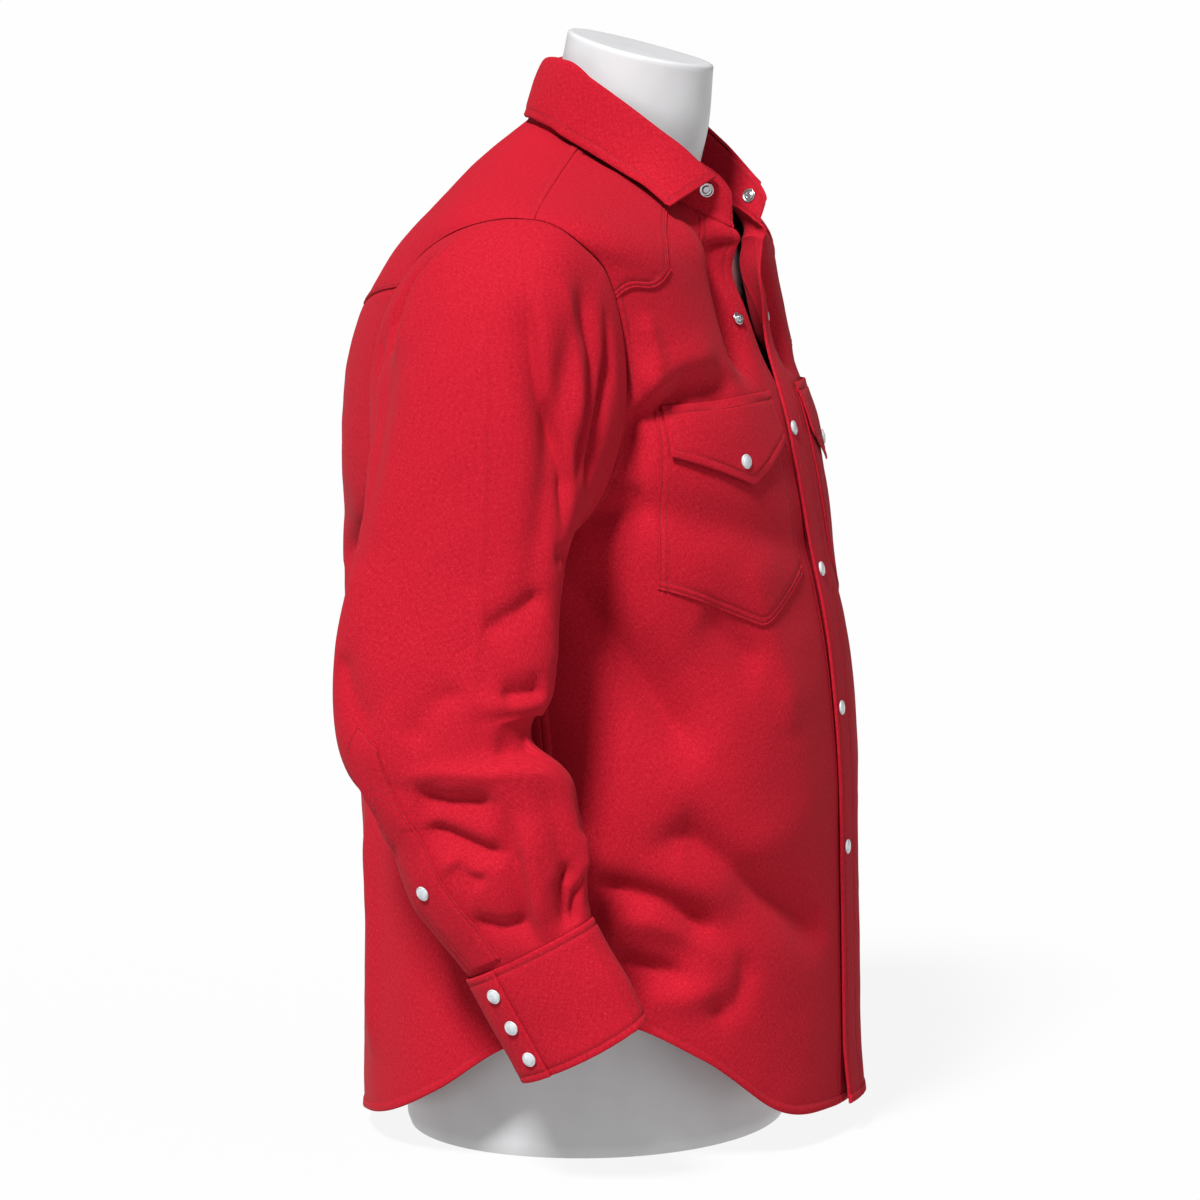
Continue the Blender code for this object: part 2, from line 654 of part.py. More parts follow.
def sleeve_relief(theta, s):
    total = np.zeros(theta.shape)
    for degrees, row, half_degrees, half_row, slant, height in SLEEVE_FOLDS:
        turn = (np.degrees(theta) - degrees + 180) % 360 - 180
        across = turn / half_degrees
        along = (s - row - slant * across) / half_row
        total = total + height * np.exp(-(across**2) - along**2)
    return total * smooth(s / 0.25) * smooth((SLEEVE_END - s) / 0.25)


def sleeve_normals(theta, s):
    step = 1e-3
    around = sleeve_surface(theta + step, s) - sleeve_surface(theta - step, s)
    high, low = np.clip(s + step, 0, SLEEVE_END), np.clip(s - step, 0, SLEEVE_END)
    down = sleeve_surface(theta, high) - sleeve_surface(theta, low)
    return unit(np.cross(down, around))


def sleeve_points(theta, s, out):
    surface = sleeve_surface(theta, s)
    return surface + sleeve_normals(theta, s) * (sleeve_relief(theta, s) + out)[..., None]


def sleeve(side, material, name):
    theta = np.radians(np.arange(SLEEVE_COLUMNS) * 360 / SLEEVE_COLUMNS)
    s = np.concatenate([np.linspace(0, 1, CAP_ROWS)[:-1], np.linspace(1, SLEEVE_END, ARM_STEPS)])
    theta, s = np.meshgrid(theta, s)
    skins = [mirrored(sleeve_points(theta, s, out), side) for out in (-WALL / 2, WALL / 2)]
    return add_wall(name, *skins, material, tube=True)


# sleeve placket: a strip with a pointed top on the outer back of the forearm
# columns: s, first and last degrees
GAUNTLET_ROWS = ((2.95, 305, 332), (3.70, 300, 329), (4.44, 302, 333), (5.18, 307, 341), (5.93, 312, 346))
GAUNTLET_POINT = 0.20  # how much further up its middle reaches, in rows
GAUNTLET_OFF = 0.0029  # off the sleeve


def sleeve_placket(side, material, name, skin):
    part = np.linspace(0, 1, 5)
    rows = np.linspace(0, 1, 11)[:, None]
    peak = GAUNTLET_POINT * (1 - np.abs(2 * part - 1))
    top, bottom = GAUNTLET_ROWS[0][0], GAUNTLET_ROWS[-1][0]
    s = top - peak + (bottom - top + peak) * rows
    share = (np.clip(s, top, bottom) - top) / (bottom - top)
    sides = between(GAUNTLET_ROWS, share * (len(GAUNTLET_ROWS) - 1))
    theta = np.radians(sides[..., 1] * (1 - part) + sides[..., 2] * part)
    low, high = (mirrored(sleeve_points(theta, s, out), side) for out in (0, 0.001))
    return add_overlay(name, skin, low, high, GAUNTLET_OFF, WALL, material)


def cuff_point(theta, part, out):
    """A point of the cuff: part 0 at its top edge, 1 at the wrist."""
    row, along, forward, outward = arm_frames(np.array(float(CUFF_ROW)))
    top = row[:3] + along * CUFF_SEAM
    away = unit(np.stack([np.sin(theta) / CUFF_HALF_DEPTH, np.cos(theta) / CUFF_HALF_THICKNESS], -1))
    depth = CUFF_HALF_DEPTH * np.sin(theta) + away[..., 0] * out
    thick = CUFF_HALF_THICKNESS * np.cos(theta) + away[..., 1] * out
    length = (CUFF_LENGTH + CUFF_FALL * np.maximum(np.cos(theta), 0)) * part
    centre = top + along * length[..., None]
    return centre + forward * depth[..., None] + outward * thick[..., None]


def cuff(side, material, name):
    """A band that goes once round and laps over its own start."""
    columns, rows = 27, 3
    turn = np.linspace(0, 360 + CUFF_LAP, columns)
    theta = np.radians(CUFF_START + turn)
    over = smooth((turn - 360 + 45) / 40) * (DOUBLE_WALL + 0.0010)
    theta, part = np.meshgrid(theta, np.linspace(0, 1, rows))
    over = np.broadcast_to(over, theta.shape)
    half = DOUBLE_WALL / 2
    skins = [mirrored(cuff_point(theta, part, over + extra), side) for extra in (-half, half)]
    return add_wall(name, *skins, material)


# ---- collar ----
# along the neckline from the front end to centre back: the stand's top edge from its seam, and the
# leaf from the fold to its lower edge
# columns: top_in top_forward top_up leaf_side leaf_back leaf_down
COLLAR_ROWS = (
    (0.000, 0.000, 0.036, 0.0500, 0.0220, 0.0198),
    (0.001, 0.003, 0.041, 0.0240, 0.0200, 0.0340),
    (0.003, 0.008, 0.050, 0.0110, 0.0200, 0.0435),
    (0.005, 0.013, 0.055, 0.0080, 0.0170, 0.0490),
    (0.006, 0.016, 0.050, 0.0110, 0.0210, 0.0465),
    (0.004, 0.016, 0.046, 0.0105, 0.0220, 0.0460),
    (0.000, 0.015, 0.040, 0.0000, 0.0170, 0.0410),
)
COLLAR_STATIONS = 13  # on each side of centre back
LEAF_START = 0.07  # the leaf begins this far back from the stand's front end
LEAF_FRONT_ROLL = 0.30  # how much of its rolled fold is left at its front end
LEAF_ROLL_REACH = 0.60
LEAF_SINK = 0.0090  # and how far its front end hangs below the stand's edge, outside it
LEAF_SINK_REACH = 0.10
LEAF_SINK_OUT = 0.0044
LEFT_FLARE = 0.011  # how far the left end of the stand falls open
LEFT_DROP = 0.012
LEFT_REACH = 0.30  # the part of the half collar that falls with it
LEAF_OFF = 0.0018  # the leaf's fold lies this far over the stand's edge
STAND_OFF = 0.0026  # the stand's seam lies on top of the panels' edges


def neckline(part, side):
    """part 0 at the front end and 1 at centre back, even along the angle."""
    v = np.full(part.shape, V_NECK)
    start = edge_angle(np.array([V_NECK]), side)[0]
    angle = start + (math.pi - start) * part
    points = plain_body(angle, v)
    outward = normals(plain_body, angle, v) * np.array([1, 1, 0])
    return points, unit(outward)


def stand_top(part, side):
    """The neckline, its outward direction, the stand's top edge and the row of COLLAR_ROWS there."""
    base, outward = neckline(part, side)
    shape = between(COLLAR_ROWS, part * (len(COLLAR_ROWS) - 1))
    top = base - outward * shape[..., :1]
    top = top + np.array([0.0, -1.0, 0.0]) * shape[..., 1:2] + np.array([0.0, 0.0, 1.0]) * shape[..., 2:3]
    if side > 0:
        fallen = smooth(1 - part / LEFT_REACH)[..., None]
        top = top + fallen * np.array([-0.8 * LEFT_FLARE, -0.6 * LEFT_FLARE, -LEFT_DROP])
    return base, outward, top, shape


def both_sides(make, stations):
    """One run of columns from the right front end round the back to the left front end."""
    right = mirrored(make(stations, -1), -1)
    left = mirrored(make(stations, 1), 1)
    right[:, -1, 0] = 0
    return np.concatenate([right, left[:, -2::-1]], 1)


def collar_stand(material):
    stations = np.linspace(0, 1, COLLAR_STATIONS)
    heights = np.linspace(0, 1, 3)

    def skin(out):
        def make(part, side):
            base, outward, top, _ = stand_top(part, side)
            base = base + (top - base) * STAND_OFF / 0.04
            return np.stack([base + (top - base) * h + outward * out for h in heights])
        return both_sides(make, stations)

    return add_wall("collar_stand", skin(0.0), skin(DOUBLE_WALL), material)


def collar_leaf(material):
    stations = LEAF_START + (1 - LEAF_START) * np.linspace(0, 1, COLLAR_STATIONS)
    # across the leaf: how much of its fall, and its height over the straight line, at each column
    across = ((0.0, 0.0), (0.12, 0.0060), (0.40, 0.0062), (0.70, 0.0035), (1.0, 0.0))

    def skin(out):
        def make(part, side):
            _, outward, top, _ = stand_top(part, side)
            shape = between(COLLAR_ROWS, (part - LEAF_START) / (1 - LEAF_START) * (len(COLLAR_ROWS) - 1))
            drop = shape[..., 5] - (LEFT_DROP * smooth(1 - part / LEFT_REACH) if side > 0 else 0)
            fall = np.stack([-shape[..., 3], shape[..., 4], -drop], -1)
            lift = unit(outward + np.array([0.0, 0.0, 0.9]))
            sunk = smooth(1 - (part - LEAF_START) / LEAF_SINK_REACH)[..., None]
            start = top + outward * (DOUBLE_WALL * 0.5 + LEAF_SINK_OUT * sunk)
            start = start + np.array([0.0, 0.0, 1.0]) * (LEAF_OFF - LEAF_SINK * sunk)
            roll = LEAF_FRONT_ROLL + (1 - LEAF_FRONT_ROLL) * smooth(part / LEAF_ROLL_REACH)[..., None]
            rows = [start + fall * f + lift * (up * roll + out) for f, up in across]
            return np.stack(rows)
        return both_sides(make, stations)

    add_wall("collar_leaf", skin(0.0), skin(DOUBLE_WALL), material)


# ---- form ----
def dress_form(material):
    columns, rows = 28, 27
    angle = np.linspace(0, 2 * math.pi, columns, endpoint=False)
    last = len(FORM_ROWS) - 1
    heights = np.concatenate([[0, 1], np.linspace(1, last, rows)[1:]])
    folded = np.where(angle > math.pi, 2 * math.pi - angle, angle)
    turn, v = np.meshgrid(folded, heights)
    points = torso(FORM_ROWS, turn, v)
    points[:, angle > math.pi, 0] *= -1
    bm = bmesh.new()
    rings = [[bm.verts.new(p) for p in row] for row in points]
    cap = points[-1]
    centre = cap.mean(0)
    shrunk = centre + (cap - centre) * (1 - CAP_EDGE / 0.056) + np.array([0.0, 0.0, CAP_EDGE * 0.6])
    rings.append([bm.verts.new(p) for p in shrunk])
    for low, high in zip(rings, rings[1:]):
        for k in range(columns):
            nxt = (k + 1) % columns
            bm.faces.new((low[k], low[nxt], high[nxt], high[k]))
    bm.faces.new(rings[0])
    bm.faces.new(rings[-1])
    add_object("form", bm, material)


# ---- snaps ----
FRONT_CAP_HEIGHTS = (0.561, 0.450, 0.340, 0.229)
FLAP_CAP_RISE = 0.019
GAUNTLET_CAP = (318.0, 4.80)
CUFF_CAP_DEGREES = 325.0
CUFF_CAP_PARTS = (0.20, 0.50, 0.80)
CAP_SEAT = 0.0009
LAP_CAP_X = -0.005  # the front's caps stand this far from the centre plane
FLAP_CAP_OUT = 0.005  # and the right flap's cap this far past the middle of its pocket
OPEN_CAP = (0.036, 0.648)  # x and height of the cap above them, which is undone
OPEN_STUD = (0.036, 0.651)
COLLAR_STUD = (0.086, 0.50)  # part of the half collar and of the stand's height
COLLAR_SOCKET = (0.060, 0.50)


def add_cap(name, skin, low, high, material, profile=CAP_PROFILE, hollow=False):
    """A round piece seated square on a skin."""
    axis = Vector(unit(high - low))
    place, normal, _, _ = skin.ray_cast(Vector(low) + axis * 0.02, -axis, 0.04)
    normal = np.array(normal)
    add_turned(name, np.array(place) + normal * CAP_SEAT, normal, profile, material, hollow)


def front_spot(x, z, side):
    angle, v = front_v(np.array([x]), np.array([z]))
    lift = lap_lift(x, z, side)
    return [mirrored(body(angle, v, side, lift + out), side)[0] for out in (0, 0.001)]


def stand_spot(place, side, inward):
    """A snap's place on the stand's outer or inner face."""
    base, outward, top, _ = stand_top(np.array([place[0]]), side)
    low = mirrored(base + (top - base) * place[1], side)[0]
    axis = mirrored(unit(np.cross(top - base, np.cross(outward, top - base))), side)[0]
    return low, low + axis * (-1 if inward else 1)


def snaps(made, skins):
    pearl, metal = made["snap_pearl"], made["snap_metal"]
    for number, height in enumerate(FRONT_CAP_HEIGHTS, 1):
        add_cap(f"snap_front_{number}", skins["placket_left"], *front_spot(LAP_CAP_X, height, 1), pearl)
    add_cap("snap_front_5", skins["placket_left"], *front_spot(*OPEN_CAP, 1), pearl)
    add_cap("stud_front", skins["placket_right"], *front_spot(*OPEN_STUD, -1), metal, STUD_PROFILE)
    stand = skins["collar_stand"]
    add_cap("stud_collar", stand, *stand_spot(COLLAR_STUD, -1, False), metal, RING_PROFILE, True)
    add_cap("socket_collar", stand, *stand_spot(COLLAR_SOCKET, 1, True), metal, RING_PROFILE, True)
    add_cap("snap_collar", stand, *stand_spot(COLLAR_SOCKET, 1, False), pearl)
    for side, word in ((-1, "right"), (1, "left")):
        middle = (POCKET_INNER + POCKET_OUTER_TOP) / 2 + (FLAP_CAP_OUT if side < 0 else 0)
        spot = front_spot(middle, FLAP_TIP + FLAP_CAP_RISE, side)
        add_cap(f"snap_flap_{word}", skins[f"flap_{word}"], *spot, pearl)
        theta, s = (np.array([value]) for value in GAUNTLET_CAP)
        spot = [mirrored(sleeve_points(np.radians(theta), s, out), side)[0] for out in (0, 0.001)]
        add_cap(f"snap_sleeve_{word}", skins[f"sleeve_placket_{word}"], *spot, pearl)
        for number, part in enumerate(CUFF_CAP_PARTS, 1):
            theta = np.radians(np.array([CUFF_CAP_DEGREES]))
            spot = [mirrored(cuff_point(theta, np.array([part]), out), side)[0] for out in (0, 0.001)]
            add_cap(f"snap_cuff_{word}_{number}", skins[f"cuff_{word}"], *spot, pearl)


def main():
    clear_scene()
    made = make_materials()
    cloth = made["cloth"]
    skins = {}
    dress_form(made["form_shell"])
    for side, word in ((-1, "right"), (1, "left")):
        front = skin_of(front_panel(side, cloth, f"front_{word}"))
        skins[f"placket_{word}"] = skin_of(placket(side, cloth, f"placket_{word}"))
        front_yoke(side, cloth, f"yoke_front_{word}", front)
        pocket(side, cloth, f"pocket_{word}", front)
        skins[f"flap_{word}"] = skin_of(flap(side, cloth, f"flap_{word}", front))
        arm = skin_of(sleeve(side, cloth, f"sleeve_{word}"))
        name = f"sleeve_placket_{word}"
        skins[name] = skin_of(sleeve_placket(side, cloth, name, arm))
        skins[f"cuff_{word}"] = skin_of(cuff(side, cloth, f"cuff_{word}"))
    back_panel(cloth)
    back_yoke(cloth)
    skins["collar_stand"] = skin_of(collar_stand(cloth))
    collar_leaf(cloth)
    snaps(made, skins)


main()
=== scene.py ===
"""Looks of the red work shirt on its dress form: cloth shells, seams, stitching, snaps, light and camera.

The torso and the sleeves are the same smooth surfaces as the CAD's, with finer folds and seam relief.
Metres, +Z up, front toward -Y, wearer's right toward -X.
"""
import math

import bpy
import numpy as np
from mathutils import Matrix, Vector


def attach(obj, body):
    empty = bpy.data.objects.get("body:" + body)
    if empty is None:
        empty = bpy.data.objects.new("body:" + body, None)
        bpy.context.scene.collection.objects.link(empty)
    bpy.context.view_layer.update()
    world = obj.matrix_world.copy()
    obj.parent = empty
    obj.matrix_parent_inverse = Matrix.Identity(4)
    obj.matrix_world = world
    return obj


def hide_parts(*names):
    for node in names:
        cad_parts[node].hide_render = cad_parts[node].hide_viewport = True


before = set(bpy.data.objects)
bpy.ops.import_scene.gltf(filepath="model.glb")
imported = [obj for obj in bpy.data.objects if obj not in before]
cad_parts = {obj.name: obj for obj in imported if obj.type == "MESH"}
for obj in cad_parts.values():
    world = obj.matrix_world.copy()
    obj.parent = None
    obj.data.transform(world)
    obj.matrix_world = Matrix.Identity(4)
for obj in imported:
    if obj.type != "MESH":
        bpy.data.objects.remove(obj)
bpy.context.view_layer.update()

# ---- sizes shared with the CAD ----
WALL = 0.0015
DOUBLE_WALL = 0.0021
PLACKET_WIDTH = 0.036
LAP_LIFT = 0.0034
HEM_PARTING = 0.0060
ROLL_DEPTH = 0.018
ROLL_PLACE = 0.056
ROLL_WIDTH = 0.018
LEFT_EDGE_FLARE = 0.0045  # how far each front's loose edge stands off above the top fastened snap
RIGHT_EDGE_FLARE = 0.0045
LOOSE_EDGE_X = 0.020
LOOSE_EDGE_WIDTH = 0.022
# columns: z_front z_side z_back half_width front back centre_y square tilt
BODY_ROWS = (
    (0.000, 0.000, 0.000, 0.2260, 0.2090, 0.1800, 0.000, 2.10, 0.00),
    (0.100, 0.100, 0.100, 0.2250, 0.2076, 0.1815, 0.000, 2.10, 0.00),
    (0.200, 0.200, 0.200, 0.2220, 0.2055, 0.1830, 0.000, 2.15, 0.00),
    (0.300, 0.300, 0.300, 0.2170, 0.2025, 0.1860, 0.000, 2.30, 0.00),
    (0.400, 0.400, 0.400, 0.2100, 0.1925, 0.1905, 0.000, 2.40, 0.00),
    (0.485, 0.490, 0.490, 0.2050, 0.1760, 0.1980, 0.000, 2.50, 0.00),
    (0.565, 0.580, 0.572, 0.2050, 0.1550, 0.1985, -0.003, 2.50, 0.00),
    (0.618, 0.655, 0.642, 0.2080, 0.1320, 0.1890, -0.008, 2.40, 0.00),
    (0.660, 0.706, 0.692, 0.2120, 0.1140, 0.1680, -0.014, 2.30, 0.00),
    (0.686, 0.734, 0.734, 0.2120, 0.1050, 0.1350, -0.018, 2.15, 0.10),
    (0.702, 0.760, 0.775, 0.1420, 0.1180, 0.0960, -0.012, 2.00, 0.30),
    (0.708, 0.784, 0.806, 0.0660, 0.1380, 0.0560, -0.006, 2.00, 0.50),
)
V_UNDERARM = 5.0
V_SHOULDER = 9.0
V_NECK = 11.0
V_ARMHOLE_MIDDLE = (V_UNDERARM + V_SHOULDER) / 2
ARMHOLE_FRONT_SWING = 29.0
ARMHOLE_BACK_SWING = 38.0
SIDE_SEAM_DRIFT = 15.0
ARMHOLE_STEPS = 12
YOKE_STEP = 7
YOKE_DIP = 0.55
# columns: right left
EDGE_ROWS = (
    (-0.0120, -0.0175),
    (-0.0175, -0.0175),
    (-0.0175, -0.0175),
    (-0.0175, -0.0175),
    (-0.0175, -0.0175),
    (-0.0175, -0.0175),
    (-0.0100, -0.0130),
    (0.0135, 0.0040),
    (0.0290, 0.0130),
    (0.0340, 0.0240),
    (0.0350, 0.0340),
    (0.0360, 0.0360),
)
# columns: degrees height
HEM_ROWS = (
    (-12, 0.024),
    (8, 0.024),
    (28, 0.034),
    (48, 0.084),
    (68, 0.118),
    (88, 0.098),
    (108, 0.058),
    (128, 0.030),
    (148, 0.017),
    (168, 0.010),
    (188, 0.009),
)
# columns: side degrees v half_degrees half_v slant height
BODY_FOLDS = (
    (-1, 62, 6.1, 5, 0.55, 0.30, -0.008),
    (-1, 42, 5.15, 40, 0.22, 0.30, -0.006),
    (-1, 46, 3.9, 34, 0.55, -0.45, -0.009),
    (-1, 52, 1.75, 18, 0.22, -0.20, -0.006),
    (-1, 40, 2.35, 26, 0.28, -0.35, 0.004),
    (1, 60, 6.0, 6, 0.50, 0.30, -0.007),
    (1, 45, 4.2, 34, 0.50, -0.40, -0.008),
    (1, 50, 2.0, 22, 0.26, -0.25, -0.005),
    (-1, 140, 4.9, 22, 0.40, 0.30, -0.006),
    (1, 138, 5.0, 24, 0.42, 0.30, -0.006),
    (-1, 150, 2.4, 14, 0.90, 0.00, -0.004),
    (1, 152, 2.2, 14, 1.00, 0.00, -0.004),
)
# columns: x y z half_depth half_thickness
ARM_ROWS = (
    (-0.2700, 0.0255, 0.465, 0.0820, 0.0400),
    (-0.2770, 0.0350, 0.402, 0.0850, 0.0410),
    (-0.2840, 0.0330, 0.345, 0.0810, 0.0400),
    (-0.2850, 0.0050, 0.290, 0.0740, 0.0380),
    (-0.2810, -0.0130, 0.238, 0.0730, 0.0370),
    (-0.2760, -0.0350, 0.187, 0.0560, 0.0280),
    (-0.2640, -0.0800, 0.110, 0.0560, 0.0280),
)
CUFF_ROW = 5
CUFF_LENGTH = 0.0890
CUFF_SEAM = 0.0008
CUFF_HALF_DEPTH = 0.0560
CUFF_HALF_THICKNESS = 0.0280
CUFF_FALL = 0.0040
CUFF_LAP = 30.0
CUFF_START = 305.0
SLEEVE_END = CUFF_ROW + 1
# columns: degrees s half_degrees half_s slant height
SLEEVE_FOLDS = (
    (95, 3.55, 45, 0.26, 0.10, -0.006),
    (75, 3.95, 40, 0.22, 0.15, 0.006),
    (60, 2.45, 40, 0.26, -0.15, 0.005),
    (55, 0.50, 10, 0.50, 0.00, -0.006),
    (295, 0.42, 12, 0.45, 0.00, -0.006),
    (60, 4.90, 9, 0.75, 0.00, -0.005),
    (95, 4.95, 9, 0.60, 0.00, -0.005),
    (340, 3.30, 30, 0.18, 0.12, -0.002),
)
# columns: top_in top_forward top_up leaf_side leaf_back leaf_down
COLLAR_ROWS = (
    (0.000, 0.000, 0.036, 0.0500, 0.0220, 0.0198),
    (0.001, 0.003, 0.041, 0.0240, 0.0200, 0.0340),
    (0.003, 0.008, 0.050, 0.0110, 0.0200, 0.0435),
    (0.005, 0.013, 0.055, 0.0080, 0.0170, 0.0490),
    (0.006, 0.016, 0.050, 0.0110, 0.0210, 0.0465),
    (0.004, 0.016, 0.046, 0.0105, 0.0220, 0.0460),
    (0.000, 0.015, 0.040, 0.0000, 0.0170, 0.0410),
)
LEAF_START = 0.07
LEAF_FRONT_ROLL = 0.30
LEAF_ROLL_REACH = 0.60
LEAF_SINK = 0.0090
LEAF_SINK_REACH = 0.10
LEAF_SINK_OUT = 0.0044
LEFT_FLARE = 0.011
LEFT_DROP = 0.012
LEFT_REACH = 0.30
LEAF_OFF = 0.0018
STAND_OFF = 0.0026
# columns as in BODY_ROWS
FORM_ROWS = (
    (0.000, 0.000, 0.000, 0.1730, 0.1440, 0.1440, 0.000, 2.05, 0.00),
    (0.006, 0.006, 0.006, 0.1790, 0.1500, 0.1500, 0.000, 2.05, 0.00),
    (0.080, 0.080, 0.080, 0.1800, 0.1500, 0.1500, 0.000, 2.05, 0.00),
    (0.180, 0.180, 0.180, 0.1740, 0.1380, 0.1380, 0.000, 2.05, 0.00),
    (0.290, 0.290, 0.290, 0.1620, 0.1200, 0.1250, 0.000, 2.10, 0.00),
    (0.400, 0.400, 0.400, 0.1720, 0.1250, 0.1450, 0.000, 2.15, 0.00),
    (0.500, 0.500, 0.500, 0.1840, 0.1280, 0.1650, 0.000, 2.20, 0.00),
    (0.580, 0.590, 0.580, 0.1860, 0.1140, 0.1680, -0.003, 2.20, 0.00),
    (0.640, 0.660, 0.645, 0.1900, 0.0980, 0.1580, -0.010, 2.20, 0.00),
    (0.676, 0.704, 0.697, 0.1980, 0.0880, 0.1400, -0.015, 2.10, 0.00),
    (0.700, 0.729, 0.737, 0.1860, 0.0800, 0.1180, -0.018, 2.00, 0.05),
    (0.716, 0.7535, 0.7705, 0.1370, 0.0750, 0.0890, -0.014, 2.00, 0.20),
    (0.735, 0.775, 0.800, 0.0710, 0.0720, 0.0560, -0.010, 2.00, 0.35),
    (0.762, 0.800, 0.824, 0.0580, 0.0680, 0.0480, -0.014, 2.00, 0.30),
    (0.800, 0.830, 0.848, 0.0565, 0.0620, 0.0560, -0.028, 2.00, 0.24),
    (0.845, 0.858, 0.874, 0.0560, 0.0585, 0.0575, -0.035, 2.00, 0.26),
)

# ---- fine folds ----
ROUND = 0.21  # metres of cloth for each radian round the body
ARM_ROUND = 0.062
# columns: side, path of (degrees, height), half width below the path and above it (on an upright
# path: toward the front and toward the back), height
BODY_CREASES = (
    (-1, ((71, 0.550), (58, 0.584), (42, 0.604), (20, 0.606)), 0.022, 0.0075, -0.0090),
    (-1, ((71, 0.572), (58, 0.603), (42, 0.624), (24, 0.628)), 0.009, 0.016, 0.0045),
    (-1, ((64, 0.655), (62, 0.620), (60, 0.590)), 0.012, 0.009, -0.0048),
    (-1, ((52, 0.665), (51, 0.630), (56, 0.600)), 0.014, 0.014, 0.0040),
    (-1, ((72, 0.540), (66, 0.530), (60, 0.522)), 0.006, 0.004, -0.0040),
    (-1, ((78, 0.508), (67, 0.514), (57, 0.514)), 0.014, 0.010, -0.0045),
    (-1, ((84, 0.466), (76, 0.437), (69, 0.409), (63, 0.382), (57, 0.355), (47, 0.317)),
     0.022, 0.024, -0.0135),
    (-1, ((46, 0.437), (37, 0.410), (28, 0.386)), 0.022, 0.013, -0.0048),
    (-1, ((62, 0.250), (52, 0.262), (45, 0.245), (36, 0.222), (21, 0.190), (9, 0.160)),
     0.020, 0.0150, -0.0110),
    (-1, ((75, 0.224), (66, 0.220), (58, 0.212), (51, 0.199), (44, 0.183)), 0.013, 0.0115, -0.0120),
    (-1, ((72, 0.200), (60, 0.196), (50, 0.178), (42, 0.160)), 0.010, 0.009, 0.0036),
    (-1, ((70, 0.171), (61, 0.159), (51, 0.151)), 0.013, 0.0075, -0.0080),
    (-1, ((39, 0.168), (37, 0.147), (40, 0.127), (48, 0.115)), 0.009, 0.010, -0.0050),
    (-1, ((62, 0.136), (52, 0.134), (44, 0.142)), 0.010, 0.010, 0.0040),
    (-1, ((30, 0.470), (24, 0.400), (20, 0.330)), 0.028, 0.024, 0.0040),
    (-1, ((97, 0.330), (88, 0.240), (80, 0.150)), 0.014, 0.022, -0.0065),
    (1, ((71, 0.546), (56, 0.580), (40, 0.600), (22, 0.606)), 0.020, 0.0085, -0.0085),
    (1, ((70, 0.570), (56, 0.600), (40, 0.622)), 0.009, 0.016, 0.0040),
    (1, ((82, 0.470), (70, 0.420), (58, 0.368), (42, 0.320)), 0.034, 0.013, -0.0110),
    (1, ((62, 0.262), (44, 0.240), (20, 0.200)), 0.026, 0.011, -0.0085),
    (1, ((74, 0.216), (58, 0.206), (42, 0.176)), 0.016, 0.009, -0.0085),
    (1, ((66, 0.168), (52, 0.150), (42, 0.130)), 0.012, 0.009, -0.0060),
    (1, ((98, 0.320), (90, 0.240), (82, 0.150)), 0.014, 0.020, -0.0065),
    (-1, ((116, 0.530), (132, 0.486), (152, 0.458)), 0.026, 0.010, -0.0090),
    (-1, ((112, 0.440), (124, 0.350), (130, 0.260)), 0.026, 0.013, -0.0085),
    (-1, ((160, 0.340), (158, 0.200), (156, 0.070)), 0.014, 0.026, -0.0075),
    (-1, ((138, 0.270), (136, 0.150), (137, 0.060)), 0.018, 0.018, 0.0060),
    (-1, ((150, 0.600), (160, 0.520), (166, 0.420)), 0.022, 0.014, -0.0050),
    (1, ((118, 0.522), (136, 0.476), (156, 0.452)), 0.024, 0.010, -0.0090),
    (1, ((110, 0.430), (122, 0.345), (126, 0.250)), 0.026, 0.013, -0.0085),
    (1, ((166, 0.360), (163, 0.230), (164, 0.080)), 0.015, 0.022, -0.0070),
    (1, ((142, 0.250), (141, 0.140), (143, 0.060)), 0.018, 0.018, 0.0055),
)
